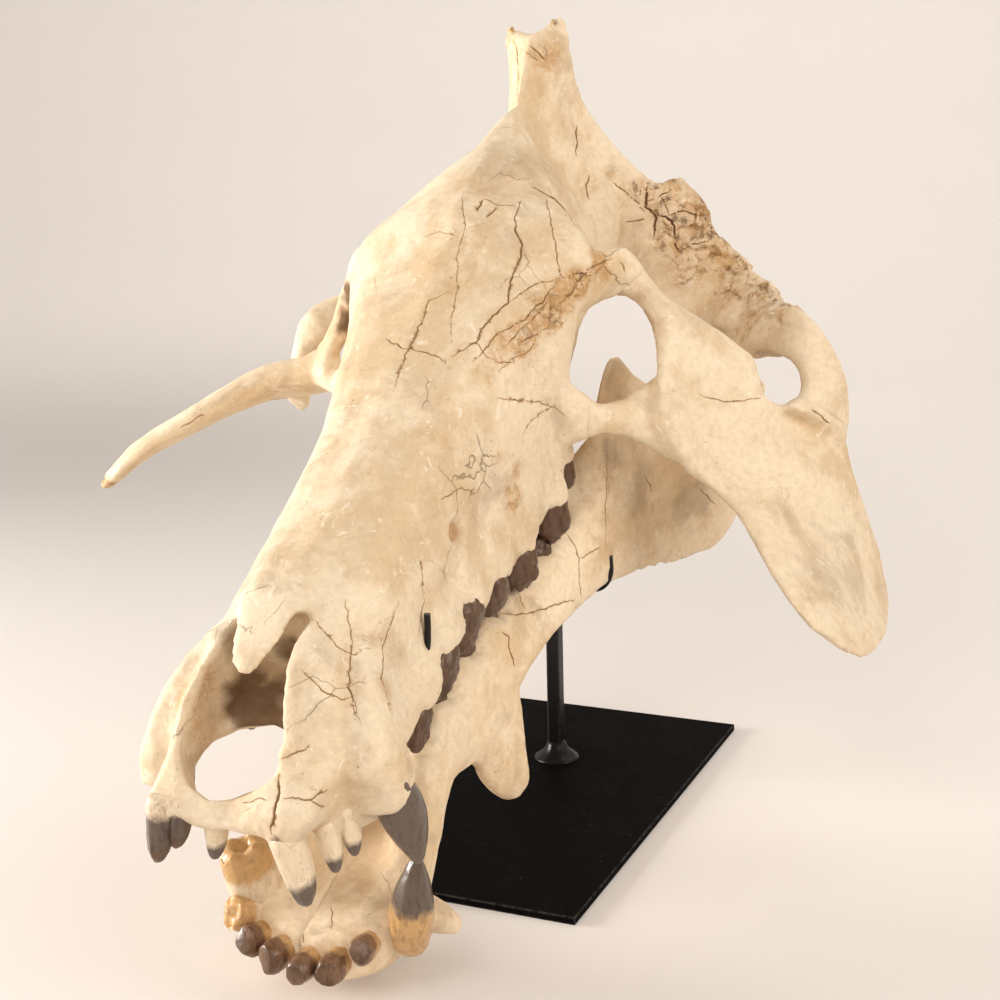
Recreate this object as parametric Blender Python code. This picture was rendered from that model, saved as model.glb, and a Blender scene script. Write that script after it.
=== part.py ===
"""Skull of an entelodont, life size, on its museum stand.

The frame: metres, +Z up, the snout towards -Y, the animal's left side +X.
The origin is the centre of the post, on the floor.
Sizes are written in millimetres and turned into metres by MM.
"""
import math

import bmesh
import bpy
from mathutils import Matrix, Vector

MM = 0.001
MEND_ROUNDS = 4
WELD_DISTANCE = 0.00002
GROOVE_ROOM = 0.5
GROOVE_END = 1.0
PARTING = 0.3

# the long axis of the cranium tips down towards the snout
SKULL_TIP = math.radians(30.0)
SKULL_HEIGHT = 500.0

PLATE_WIDTH = 271.0
PLATE_BACK = 141.0
PLATE_FRONT = -301.0
PLATE_THICK = 6.35
POST_SIDE = 12.7
POST_TOP = 448.0
ROD_RADIUS = 2.4
WELD_RADIUS = 14.0
WELD_HEIGHT = 13.0

BONE_VOXEL = 4.0
BONE_SMOOTHING = 3
RING_SIDES = 12

CRANIUM_TRIANGLES = 5600
JUGAL_TRIANGLES = 1000
DENTARY_TRIANGLES = 1700

# rings of the cranium: place along the axis, then the half outline from the
# top of the midline round to the middle of the palate, as (out, up)
CRANIUM_RINGS = (
    (-78, ((0, 52), (32, 42), (44, 8), (34, -30), (20, -42), (0, -42))),
    (-30, ((0, 78), (38, 62), (60, 18), (50, -36), (28, -50), (0, -50))),
    (0, ((0, 131), (7, 122), (44, 34), (54, -34), (30, -52), (0, -53))),
    (34, ((0, 131), (16, 122), (48, 62), (55, -30), (34, -54), (0, -56))),
    (68, ((0, 130), (26, 122), (50, 100), (58, 14), (40, -55), (0, -58))),
    (102, ((0, 129), (40, 116), (80, 86), (66, 4), (42, -60), (0, -62))),
    (140, ((0, 124), (56, 111), (106, 76), (74, 8), (46, -62), (0, -64))),
    (178, ((0, 112), (60, 98), (100, 62), (76, -4), (52, -66), (0, -66))),
    (215, ((0, 101), (62, 88), (92, 40), (86, -22), (60, -88), (0, -74))),
    (250, ((0, 94), (56, 82), (82, 38), (82, -26), (66, -88), (0, -74))),
    (300, ((0, 86), (48, 76), (70, 36), (74, -18), (71, -84), (0, -64))),
    (350, ((0, 78), (42, 68), (57, 36), (66, -14), (71, -72), (0, -50))),
    (420, ((0, 68), (40, 60), (57, 32), (64, -10), (70, -58), (0, -36))),
    (480, ((0, 62), (40, 54), (58, 30), (66, -10), (71, -58), (0, -34))),
    (540, ((0, 56), (42, 46), (58, 26), (66, -5), (70, -50), (0, -30))),
    (585, ((0, 42), (42, 36), (62, 18), (66, -5), (68, -38), (0, -26))),
    (614, ((0, 14), (34, 19), (55, 12), (62, -3), (58, -30), (0, -26))),
    (638, ((0, 2), (26, 8), (50, 8), (60, 0), (52, -16), (0, -14))),
    (653, ((0, -3), (18, 1), (38, 2), (50, -2), (42, -10), (0, -9))),
)

# sections of the crest from low to high: height, then front apex, corner
# out and back, and rear, all in millimetres
CREST_SECTIONS = (
    (560, -84, 72, 38, 60),
    (588, -74, 50, 22, 52),
    (617, -60, 36, 4, 36),
    (645, -45, 32, -6, 18),
    (668, -31, 32, -12, 4),
    (692, -20, 30, -14, -4),
)
CREST_NOTCH = ((-60, 678), (-26, 683), (-14, 675), (-2, 673), (8, 678), (16, 689), (28, 690), (60, 676),
               (60, 720), (-60, 720))

# blades: two edges and half the thickness at each step along the blade
LAMBDOID_WALL = (
    (38, 4, 600, 10, 20, 570, 12),
    (50, 20, 586, 28, 42, 535, 12),
    (84, 50, 546, 42, 54, 500, 12),
    (104, 74, 548, 50, 62, 470, 12),
    (120, 86, 524, 60, 64, 440, 12),
    (140, 84, 494, 80, 60, 415, 12),
    (165, 77, 473, 110, 52, 400, 12),
    (190, 53, 456, 150, 36, 396, 12),
    (225, 12, 443, 190, 8, 394, 11),
)
SQUAMOSAL_ARCH = (
    (212, 20, 446, 180, 8, 404, 12),
    (228, 8, 441, 204, -2, 402, 12),
    (246, -6, 430, 224, -16, 400, 12),
    (258, 3, 406, 238, -26, 390, 11),
    (265, 18, 376, 243, -36, 378, 11),
    (268, 18, 349, 240, -52, 372, 11),
    (268, 8, 328, 234, -66, 368, 11),
)
GLENOID_BAR = (
    (150, 40, 436, 140, 52, 408, 14),
    (185, 30, 424, 180, 44, 400, 13),
    (220, 10, 414, 214, 20, 396, 11),
)
POSTORBITAL_BAR = (
    (88, -160, 492, 84, -150, 450, 14),
    (104, -143, 499, 98, -133, 458, 12),
    (120, -127, 502, 112, -125, 462, 11),
    (133, -124, 485, 123, -113, 456, 10),
    (144, -114, 467, 132, -109, 443, 10),
    (156, -97, 453, 139, -116, 431, 9),
    (173, -67, 433, 146, -130, 418, 9),
    (192, -50, 415, 149, -141, 404, 9),
    (205, -52, 402, 151, -148, 386, 10),
)
JUGAL_PLATE = (
    (196, -50, 412, 146, -140, 396, 10),
    (208, -54, 404, 150, -146, 362, 11),
    (220, -66, 375, 170, -130, 322, 11),
    (243, -18, 357, 192, -124, 305, 12),
    (268, 8, 331, 212, -132, 290, 11),
    (276, 12, 298, 228, -145, 275, 10),
    (286, 22, 260, 248, -164, 256, 9),
    (296, 30, 227, 266, -180, 239, 9),
    (304, 22, 200, 283, -184, 222, 8),
    (311, -2, 182, 297, -170, 205, 7),
    (316, -48, 172, 308, -149, 190, 6),
    (318, -96, 174, 315, -130, 182, 4),
)
SUBORBITAL_BAR = (
    (72, -196, 400, 70, -184, 336, 12),
    (95, -179, 396, 92, -173, 350, 12),
    (108, -160, 381, 108, -159, 354, 11),
    (122, -146, 382, 124, -145, 350, 11),
    (136, -130, 393, 142, -136, 341, 11),
    (147, -126, 400, 156, -126, 328, 11),
    (168, -118, 400, 178, -120, 330, 11),
)
# the right cheek flares out flat and carries a narrower flange
RIGHT_SUBORBITAL_BAR = (
    (-72, -196, 400, -70, -184, 336, 12),
    (-95, -179, 396, -92, -173, 358, 12),
    (-108, -160, 389, -108, -159, 364, 11),
    (-124, -146, 394, -126, -145, 368, 11),
    (-140, -130, 400, -146, -134, 372, 11),
    (-166, -118, 408, -170, -120, 378, 12),
)
RIGHT_FLANGE = (
    (-150, -125, 400, -184, -84, 382, 20),
    (-181, -134, 392, -222, -74, 370, 17),
    (-211, -144, 385, -262, -64, 364, 16),
    (-238, -170, 368, -292, -88, 352, 13),
    (-269, -196, 349, -327, -112, 331, 11),
    (-299, -215, 329, -353, -142, 312, 9),
    (-323, -221, 308, -361, -171, 295, 7),
    (-345, -211, 293, -358, -194, 288, 4),
)
NASAL_TONGUE = (
    (32, -428, 318, -34, -428, 318, 7),
    (15, -472, 293, -34, -472, 292, 6),
    (10, -493, 275, -31, -491, 274, 5),
    (1, -506, 261, -25, -504, 261, 4),
    (-6, -515, 252, -15, -513, 252, 3),
)
CANINE_SHEATH = (
    (52, -478, 272, 50, -436, 256, 8),
    (61, -494, 252, 60, -455, 246, 13),
    (72, -515, 222, 70, -467, 221, 17),
    (82, -520, 190, 79, -472, 194, 19),
    (89, -516, 168, 85, -476, 172, 18),
    (91, -508, 158, 88, -482, 163, 15),
)

# the back of the head: joint knobs, the hole for the spinal cord between them,
# and the processes beside them
OCCIPITAL_CONDYLE = (
    (6, 84, 522, 6, 84, 504, 8),
    (20, 98, 528, 18, 97, 500, 13),
    (34, 96, 534, 32, 93, 506, 12),
    (43, 84, 534, 41, 82, 514, 7),
)
PAROCCIPITAL_PROCESS = (
    (44, 40, 510, 58, 72, 506, 10),
    (48, 50, 486, 60, 78, 482, 8),
    (53, 60, 464, 61, 80, 461, 6),
    (57, 68, 450, 61, 78, 449, 4),
)
FORAMEN_WIDTH = 17.0
FORAMEN_HEIGHT = 14.0
FORAMEN_CENTRE = (0, 92, 541)
FORAMEN_DEPTH = 44.0
CHOANA = ((-17, 118), (-22, 150), (-20, 184), (-10, 204), (10, 204), (20, 184), (22, 150), (17, 118))
CHOANA_FLOOR = -110.0
CHOANA_ROOF = -46.0

# the naris seen from above, and the way down through the open palate
NARIS_OUTLINE = (
    (21, 513), (17, 552), (25, 580), (30, 602), (10, 627), (-14, 636),
    (-36, 631), (-50, 606), (-48, 562), (-34, 520),
)
NARIS_FLOOR = -13.0
NARIS_ROOF = 90.0
PALATE_GAP = (
    (20, 576), (25, 596), (14, 616), (-2, 629), (-18, 636), (-34, 629),
    (-46, 610), (-44, 588), (-26, 572), (0, 565),
)
PALATE_GAP_DIRECTION = (-0.53, -0.50, -0.73)
PALATE_GAP_REACH = (-30.0, 110.0)

# rings of the joined front of the lower jaw: place, then (out, height)
SYMPHYSIS_RINGS = (
    (-480, ((0, 50), (20, 52), (36, 52), (38, 38), (24, 27), (0, 25))),
    (-464, ((0, 58), (28, 61), (48, 60), (54, 38), (36, 20), (0, 17))),
    (-440, ((0, 68), (34, 76), (60, 84), (68, 50), (44, 16), (0, 13))),
    (-410, ((0, 82), (32, 92), (56, 118), (62, 62), (42, 18), (0, 15))),
    (-384, ((0, 100), (30, 112), (51, 152), (58, 96), (40, 52), (0, 44))),
    (-360, ((0, 122), (30, 136), (46, 172), (54, 118), (42, 92), (0, 88))),
)
DENTARY_BODY = (
    (56, -420, 122, 52, -404, 40, 15),
    (52, -394, 150, 52, -385, 80, 15),
    (49, -350, 192, 50, -345, 119, 14),
    (53, -300, 223, 54, -305, 124, 14),
    (58, -250, 243, 64, -262, 156, 14),
    (64, -200, 260, 74, -205, 190, 14),
    (72, -150, 279, 83, -150, 206, 14),
    (80, -112, 296, 91, -108, 214, 13),
    (90, -70, 310, 100, -66, 212, 11),
)
RAMUS_PLATE = (
    (84, -122, 300, 89, -116, 222, 10),
    (86, -116, 338, 92, -104, 218, 10),
    (84, -92, 384, 100, -62, 212, 9),
    (85, -64, 410, 112, -8, 206, 8),
    (98, -34, 384, 128, 22, 207, 8),
    (132, 6, 356, 145, 50, 214, 8),
    (168, 30, 372, 154, 74, 236, 9),
    (182, 40, 378, 160, 78, 270, 8),
    (188, 50, 370, 168, 76, 310, 6),
)
RAMUS_ROOT = (
    (56, -140, 296, 62, -132, 226, 12),
    (60, -124, 320, 68, -118, 228, 12),
    (72, -118, 334, 80, -110, 230, 12),
    (86, -112, 352, 92, -102, 230, 11),
)
REAR_TUBERCLE = (
    (60, -312, 144, 66, -246, 172, 11),
    (62, -306, 112, 70, -244, 118, 11),
    (68, -288, 90, 73, -243, 93, 9),
    (71, -272, 80, 73, -253, 81, 5),
)
FRONT_TUBERCLE = (
    (52, -440, 56, 46, -392, 50, 15),
    (68, -424, 46, 62, -384, 42, 12),
    (78, -404, 36, 74, -380, 32, 8),
    (83, -394, 31, 80, -384, 29, 4),
)

# teeth: root end, tip, radius at the gum, flatness
UPPER_CHEEK_TEETH = (
    ((66, -408, 222), (66, -427, 174), 10.0, 0.85),
    ((66, -370, 252), (65, -391, 208), 12.0, 0.8),
    ((66, -320, 272), (64, -351, 230), 14.5, 0.8),
    ((67, -284, 282), (65, -292, 240), 13.0, 0.8),
    ((68, -238, 292), (66, -240, 245), 14.5, 0.9),
    ((74, -184, 320), (72, -181, 268), 15.0, 0.9),
    ((68, -150, 344), (66, -150, 300), 13.5, 0.9),
)
UPPER_CANINE = ((88, -504, 196), (95, -477, 125), 14.5, 0.9)
LEFT_UPPER_INCISORS = (
    ((40, -556, 172), (50, -546, 117), 12.0, 0.9),
    ((54, -530, 170), (60, -525, 132), 8.5, 0.9),
    ((62, -516, 176), (68, -514, 140), 8.0, 0.9),
)
RIGHT_UPPER_INCISORS = (
    ((-46, -560, 186), (-52, -562, 137), 11.0, 0.9),
    ((-34, -556, 184), (-40, -558, 147), 9.0, 0.9),
    ((-12, -552, 178), (-14, -552, 141), 9.0, 0.9),
)
LOWER_CANINE = ((66, -436, 44), (84, -453, 117), 15.5, 0.9)
LOWER_CANINE_STUMP = ((-54, -446, 56), (-58, -462, 104), 17.0, 0.85)
LOWER_INCISORS = (
    ((-46, -450, 48), (-57, -476, 60), 13.0, 1.0),
    ((-30, -460, 42), (-36, -498, 48), 12.5, 0.9),
    ((-12, -464, 38), (-14, -505, 42), 12.0, 0.9),
    ((10, -466, 36), (11, -508, 38), 12.0, 0.9),
    ((28, -460, 38), (33, -504, 38), 12.5, 0.9),
    ((44, -452, 46), (53, -490, 54), 12.0, 0.9),
)
LOWER_CHEEK_TEETH = (
    ((47, -372, 154), (47, -376, 182), 7.0, 0.7),
    ((48, -340, 172), (47, -344, 204), 9.0, 0.7),
    ((52, -302, 196), (51, -306, 230), 10.0, 0.7),
    ((54, -262, 214), (53, -265, 246), 10.0, 0.8),
    ((58, -222, 232), (57, -224, 262), 11.0, 0.8),
    ((64, -186, 246), (63, -187, 276), 11.0, 0.8),
)

# the rods of the stand, as paths; hooks end on the outside of the bone
SKULL_ARM_LEFT = (
    (0, -5, 340), (5, -60, 318), (12, -160, 290), (26, -300, 250), (40, -378, 232),
    (54, -392, 232), (66, -398, 243), (69, -400, 258), (69, -400, 271),
)
JAW_FRONT_ARM = ((0, -5, 206), (0, -120, 186), (0, -260, 140), (0, -340, 112), (0, -362, 104))
JAW_FRONT_HOOK = (
    (0, -362, 104), (28, -366, 104), (44, -370, 108), (54, -374, 117), (59, -378, 130),
    (59, -380, 140),
)
JAW_REAR_HOOK = (
    (0, -5, 200), (30, -40, 202), (66, -92, 206), (88, -106, 212), (97, -110, 224),
    (98, -112, 242),
)

BONE_COLOUR = (0.78, 0.62, 0.42, 1.0)
STAND_COLOUR = (0.012, 0.012, 0.013, 1.0)


def seat(out, along, up):
    """A point of the cranium's own axes, in the frame, in millimetres."""
    y = -math.cos(SKULL_TIP) * along - math.sin(SKULL_TIP) * up
    z = SKULL_HEIGHT - math.sin(SKULL_TIP) * along + math.cos(SKULL_TIP) * up
    return Vector((out, y, z))


def spline(rows, steps):
    """Rows of numbers made finer by a smooth curve through them."""
    count = len(rows)
    fine = []
    for i in range(count - 1):
        before = rows[max(i - 1, 0)]
        start = rows[i]
        end = rows[i + 1]
        after = rows[min(i + 2, count - 1)]
        for step in range(steps):
            t = step / steps
            row = []
            for a, b, c, d in zip(before, start, end, after):
                row.append(0.5 * (2 * b + (c - a) * t
                                  + (2 * a - 5 * b + 4 * c - d) * t * t
                                  + (3 * b - a - 3 * c + d) * t * t * t))
            fine.append(tuple(row))
    fine.append(tuple(rows[-1]))
    return fine


def mirrored(rows):
    """Rows of a blade on the other side of the midline."""
    return tuple((-a, b, c, -d, e, f, t) for a, b, c, d, e, f, t in rows)


def mirrored_path(points):
    return tuple((-x, y, z) for x, y, z in points)


def mirrored_teeth(teeth):
    return tuple(((-a[0], a[1], a[2]), (-b[0], b[1], b[2]), r, f) for a, b, r, f in teeth)


def new_object(name, bm):
    """A closed mesh, its faces turned outwards, as an object of its own."""
    bmesh.ops.recalc_face_normals(bm, faces=bm.faces)
    if bm.calc_volume(signed=True) < 0:
        bmesh.ops.reverse_faces(bm, faces=bm.faces)
    mesh = bpy.data.meshes.new(name)
    bm.to_mesh(mesh)
    bm.free()
    obj = bpy.data.objects.new(name, mesh)
    bpy.context.scene.collection.objects.link(obj)
    return obj


def loft(name, rings):
    """Closed rings of equal length joined into one closed body."""
    bm = bmesh.new()
    rows = [[bm.verts.new(point * MM) for point in ring] for ring in rings]
    sides = len(rows[0])
    for near, far in zip(rows, rows[1:]):
        for i in range(sides):
            j = (i + 1) % sides
            bm.faces.new((near[i], near[j], far[j], far[i]))
    for row in (rows[0], rows[-1]):
        middle = bm.verts.new(sum((v.co for v in row), Vector()) / sides)
        for i in range(sides):
            bm.faces.new((row[i], row[(i + 1) % sides], middle))
    return new_object(name, bm)


def blade(name, rows, steps=3, sides=RING_SIDES):
    """A bar or plate between two edges, oval across, thinner to its ends."""
    fine = spline(rows, steps)
    centres = [(Vector(r[0:3]) + Vector(r[3:6])) / 2 for r in fine]
    rings = []
    for i, row in enumerate(fine):
        wide = (Vector(row[0:3]) - Vector(row[3:6])) / 2
        along = centres[min(i + 1, len(fine) - 1)] - centres[max(i - 1, 0)]
        thin = along.cross(wide).normalized() * row[6]
        ring = []
        for k in range(sides):
            angle = 2 * math.pi * k / sides
            c, s = math.cos(angle), math.sin(angle)
            c = math.copysign(abs(c) ** 0.8, c)
            s = math.copysign(abs(s) ** 0.8, s)
            ring.append(centres[i] + wide * c + thin * s)
        rings.append(ring)
    return loft(name, rings)


def half_ring_loft(name, stations, place, steps=3, ring_steps=3):
    """Rings given by half an outline, made finer and mirrored."""
    fine_outlines = []
    for along, half in stations:
        fine_outlines.append((along,) + tuple(v for point in spline(half, ring_steps) for v in point))
    rings = []
    for row in spline(fine_outlines, steps):
        along = row[0]
        half = [(row[i], row[i + 1]) for i in range(1, len(row), 2)]
        ring = [place(x, along, up) for x, up in half]
        ring += [place(-x, along, up) for x, up in reversed(half[1:-1])]
        rings.append(ring)
    return loft(name, rings)


def tooth(name, root, tip, radius, flat):
    """A blunt pointed crown on a root that goes into the bone."""
    root = Vector(root)
    tip = Vector(tip)
    axis = (tip - root).normalized()
    side = axis.cross(Vector((0, 1, 0)))
    if side.length < 0.3:
        side = axis.cross(Vector((0, 0, 1)))
    side.normalize()
    other = axis.cross(side).normalized()
    rings = []
    for place, width in ((0.0, 0.75), (0.35, 1.0), (0.6, 0.86), (0.82, 0.58), (0.95, 0.32), (1.0, 0.12)):
        centre = root.lerp(tip, place)
        ring = []
        for k in range(8):
            angle = 2 * math.pi * k / 8
            ring.append(centre + side * (radius * flat * width * math.cos(angle))
                        + other * (radius * width * math.sin(angle)))
        rings.append(ring)
    return loft(name, rings)


def rod(name, points, radius, steps=3, sides=8):
    """A round rod bent along a path."""
    path = [Vector(p) for p in spline(points, steps)]
    rings = []
    across = None
    for i, point in enumerate(path):
        along = (path[min(i + 1, len(path) - 1)] - path[max(i - 1, 0)]).normalized()
        if across is None:
            across = along.orthogonal().normalized()
        else:
            across = (across - along * across.dot(along)).normalized()
        other = along.cross(across)
        rings.append([point + (across * math.cos(2 * math.pi * k / sides)
                               + other * math.sin(2 * math.pi * k / sides)) * radius
                      for k in range(sides)])
    return loft(name, rings)


def prism(name, outline, low, high):
    """An upright body over an outline on the cranium's own axes."""
    rings = [[seat(x, along, up) for x, along in outline] for up in (low, high)]
    return loft(name, rings)


def slanted_prism(name, outline, level, direction, reach):
    """A body over an outline, drawn along a slanting direction."""
    rings = []
    for distance in reach:
        ring = []
        for x, along in outline:
            ring.append(seat(x + direction[0] * distance, along + direction[1] * distance,
                             level + direction[2] * distance))
        rings.append(ring)
    return loft(name, rings)


def box(name, low, high):
    bm = bmesh.new()
    bmesh.ops.create_cube(bm, size=1.0)
    low = Vector(low)
    high = Vector(high)
    for v in bm.verts:
        v.co = Vector((low[i] + (v.co[i] + 0.5) * (high[i] - low[i]) for i in range(3))) * MM
    return new_object(name, bm)


def slab(name, centre, normal, size, thick=PARTING):
    """A thin square slab that parts two bones."""
    normal = Vector(normal).normalized()
    turn = Vector((0, 0, 1)).rotation_difference(normal).to_matrix().to_4x4()
    bm = bmesh.new()
    bmesh.ops.create_cube(bm, size=1.0)
    for v in bm.verts:
        v.co = Vector((v.co.x * size, v.co.y * size, v.co.z * thick))
    bmesh.ops.transform(bm, matrix=Matrix.Translation(Vector(centre)) @ turn, verts=bm.verts)
    bmesh.ops.scale(bm, vec=(MM, MM, MM), verts=bm.verts)
    return new_object(name, bm)


def remove(objects):
    for obj in objects:
        bpy.data.objects.remove(obj, do_unlink=True)


def apply_modifiers(obj):
    bpy.context.view_layer.update()
    graph = bpy.context.evaluated_depsgraph_get()
    mesh = bpy.data.meshes.new_from_object(obj.evaluated_get(graph))
    obj.modifiers.clear()
    obj.data = mesh


def combine(obj, others, operation):
    """Join the other closed bodies to an object, or cut them out of it."""
    group = bpy.data.collections.new(obj.name + " pieces")
    for other in others:
        group.objects.link(other)
    modifier = obj.modifiers.new("combine", "BOOLEAN")
    modifier.operation = operation
    modifier.operand_type = "COLLECTION"
    modifier.collection = group
    modifier.solver = "EXACT"
    apply_modifiers(obj)
    remove(others)
    bpy.data.collections.remove(group)


def mend(bm):
    """Every edge gets two faces: torn or folded spots are taken out and filled again."""
    for _ in range(MEND_ROUNDS):
        bmesh.ops.remove_doubles(bm, verts=bm.verts, dist=WELD_DISTANCE)
        bmesh.ops.dissolve_degenerate(bm, edges=bm.edges, dist=WELD_DISTANCE)
        torn = [e for e in bm.edges if len(e.link_faces) != 2]
        if not torn:
            break
        faces = {f for e in torn for v in e.verts for f in v.link_faces}
        bmesh.ops.delete(bm, geom=list(faces), context="FACES")
        loose = [e for e in bm.edges if not e.link_faces]
        bmesh.ops.delete(bm, geom=loose, context="EDGES")
        bmesh.ops.delete(bm, geom=[v for v in bm.verts if not v.link_faces], context="VERTS")
        bmesh.ops.holes_fill(bm, edges=[e for e in bm.edges if len(e.link_faces) == 1], sides=0)
    bmesh.ops.triangulate(bm, faces=bm.faces)
    bmesh.ops.recalc_face_normals(bm, faces=bm.faces)


def keep_largest(obj):
    """Only the largest closed surface of an object stays."""
    bm = bmesh.new()
    bm.from_mesh(obj.data)
    mend(bm)
    left = set(bm.verts)
    shells = []
    while left:
        seed = left.pop()
        shell = {seed}
        edge = [seed]
        while edge:
            vert = edge.pop()
            for link in vert.link_edges:
                other = link.other_vert(vert)
                if other in left:
                    left.remove(other)
                    shell.add(other)
                    edge.append(other)
        shells.append(shell)
    shells.sort(key=len, reverse=True)
    for shell in shells[1:]:
        bmesh.ops.delete(bm, geom=list(shell), context="VERTS")
    bm.to_mesh(obj.data)
    bm.free()


def grow_together(obj, voxel, smoothing, triangles):
    """One even skin over the joined pieces, smoothed and made light."""
    skin = obj.modifiers.new("skin", "REMESH")
    skin.mode = "VOXEL"
    skin.voxel_size = voxel * MM
    soften = obj.modifiers.new("soften", "SMOOTH")
    soften.factor = 0.5
    soften.iterations = smoothing
    apply_modifiers(obj)
    keep_largest(obj)
    obj.data.calc_loop_triangles()
    lighten = obj.modifiers.new("lighten", "DECIMATE")
    lighten.ratio = min(1.0, triangles / len(obj.data.loop_triangles))
    apply_modifiers(obj)


def material(name, colour, roughness, metallic=0.0):
    surface = bpy.data.materials.new(name)
    surface.use_nodes = True
    shader = surface.node_tree.nodes["Principled BSDF"]
    shader.inputs["Base Color"].default_value = colour
    shader.inputs["Roughness"].default_value = roughness
    shader.inputs["Metallic"].default_value = metallic
    return surface


def finish(obj, surface, smooth):
    obj.data.materials.clear()
    obj.data.materials.append(surface)
    for polygon in obj.data.polygons:
        polygon.use_smooth = smooth


def add_teeth(pieces, label, teeth):
    for i, (root, tip, radius, flat) in enumerate(teeth):
        pieces.append(tooth("%s %d" % (label, i), root, tip, radius, flat))


def crest():
    """The upright crest over the back of the head, three-cornered across."""
    rings = []
    for height, apex, corner, corner_y, rear in spline(CREST_SECTIONS, 3):
        hollow = (corner * 0.38, apex * 0.55 + corner_y * 0.45)
        half = [(0, apex), hollow, (corner, corner_y), (corner * 0.55, (corner_y + rear) / 2 + 3), (0, rear)]
        ring = [Vector((x, y, height)) for x, y in half]
        ring += [Vector((-x, y, height)) for x, y in reversed(half[1:-1])]
        rings.append(ring)
    return loft("crest", rings)


def crest_notch():
    """The broken top edge of the crest, seen from the front."""
    rings = [[Vector((x, y, z)) for x, z in CREST_NOTCH] for y in (-80, 80)]
    return loft("crest notch", rings)


def foramen_magnum():
    """The oval passage for the spinal cord, from the rear inwards."""
    centre = Vector(FORAMEN_CENTRE)
    rings = []
    for depth in (20.0, -FORAMEN_DEPTH):
        ring = []
        for i in range(RING_SIDES):
            turn = 2 * math.pi * i / RING_SIDES
            ring.append(centre + Vector((FORAMEN_WIDTH * math.cos(turn), depth * 0.9,
                                         FORAMEN_HEIGHT * math.sin(turn) + depth * 0.3)))
        rings.append(ring)
    return loft("foramen magnum", rings)


def jugal_pieces(side):
    if side > 0:
        return [
            blade("plate", JUGAL_PLATE),
            blade("suborbital", SUBORBITAL_BAR),
            blade("postorbital", POSTORBITAL_BAR),
        ]
    return [
        blade("suborbital", RIGHT_SUBORBITAL_BAR),
        blade("postorbital", mirrored(POSTORBITAL_BAR)),
        blade("flange", RIGHT_FLANGE),
    ]


def arch_pieces(side):
    rows = (SQUAMOSAL_ARCH, GLENOID_BAR)
    if side < 0:
        rows = tuple(mirrored(r) for r in rows)
    return [blade("arch %d" % i, r) for i, r in enumerate(rows)]


def jugal_partings(side):
    """Where the jugal meets the frontal, the maxilla and the squamosal."""
    return [
        slab("frontal suture", (side * 123, -121, 476), (side * 0.55, 0.35, -0.76), 76),
        slab("maxilla suture", (side * 100, -166, 371), (side * 0.92, 0.38, -0.10), 84),
        slab("squamosal suture", (side * 247, -31, 360), (side * 0.06, -0.55, -0.83), 160),
    ]


def build_cranium(bone):
    body = half_ring_loft("cranium", CRANIUM_RINGS, seat)
    pieces = [crest()]
    for rows in (LAMBDOID_WALL, CANINE_SHEATH, OCCIPITAL_CONDYLE, PAROCCIPITAL_PROCESS):
        pieces.append(blade("left", rows))
        pieces.append(blade("right", mirrored(rows)))
    for side in (1, -1):
        pieces += jugal_pieces(side)
        pieces += arch_pieces(side)
    combine(body, pieces, "UNION")
    combine(body, [
        crest_notch(),
        prism("naris", NARIS_OUTLINE, NARIS_FLOOR, NARIS_ROOF),
        slanted_prism("palate gap", PALATE_GAP, -5.0, PALATE_GAP_DIRECTION, PALATE_GAP_REACH),
        prism("choana", CHOANA, CHOANA_FLOOR, CHOANA_ROOF),
        foramen_magnum(),
    ], "DIFFERENCE")
    late = [blade("tongue", NASAL_TONGUE)]
    add_teeth(late, "cheek tooth", UPPER_CHEEK_TEETH + mirrored_teeth(UPPER_CHEEK_TEETH))
    add_teeth(late, "canine", (UPPER_CANINE,) + mirrored_teeth((UPPER_CANINE,)))
    add_teeth(late, "incisor", LEFT_UPPER_INCISORS + RIGHT_UPPER_INCISORS)
    combine(body, late, "UNION")
    grow_together(body, BONE_VOXEL, BONE_SMOOTHING, CRANIUM_TRIANGLES)
    cuts = jugal_partings(1) + jugal_partings(-1)
    half = POST_SIDE / 2 + PARTING
    cuts.append(box("mortise", (-half, -half, 380), (half, half, POST_TOP + PARTING)))
    combine(body, cuts, "DIFFERENCE")
    combine(body, skull_arm_grooves(), "DIFFERENCE")
    keep_largest(body)
    finish(body, bone, True)
    return body


def build_jugal(name, side, bone):
    pieces = jugal_pieces(side) + arch_pieces(side)
    body = pieces.pop(0)
    body.name = name
    combine(body, pieces, "UNION")
    grow_together(body, BONE_VOXEL, BONE_SMOOTHING, JUGAL_TRIANGLES)
    combine(body, jugal_partings(side), "DIFFERENCE")
    keep_largest(body)
    finish(body, bone, True)
    return body


def build_dentary(name, side, bone):
    body = half_ring_loft(name, SYMPHYSIS_RINGS, lambda x, y, z: Vector((x, y, z)))
    pieces = []
    for rows in (DENTARY_BODY, RAMUS_ROOT, RAMUS_PLATE, REAR_TUBERCLE, FRONT_TUBERCLE):
        pieces.append(blade("bone", rows if side > 0 else mirrored(rows)))
    cheek = LOWER_CHEEK_TEETH
    add_teeth(pieces, "cheek tooth", cheek if side > 0 else mirrored_teeth(cheek))
    add_teeth(pieces, "canine", (LOWER_CANINE if side > 0 else LOWER_CANINE_STUMP,))
    add_teeth(pieces, "incisor", [t for t in LOWER_INCISORS if t[1][0] * side > 0])
    combine(body, pieces, "UNION")
    grow_together(body, BONE_VOXEL, BONE_SMOOTHING, DENTARY_TRIANGLES)
    edge = side * PARTING / 2
    far = -side * 200.0
    combine(body, [box("middle", (min(edge, far), -600, -10), (max(edge, far), 200, 600))], "DIFFERENCE")
    combine(body, jaw_grooves(side), "DIFFERENCE")
    keep_largest(body)
    finish(body, bone, True)
    return body


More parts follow.
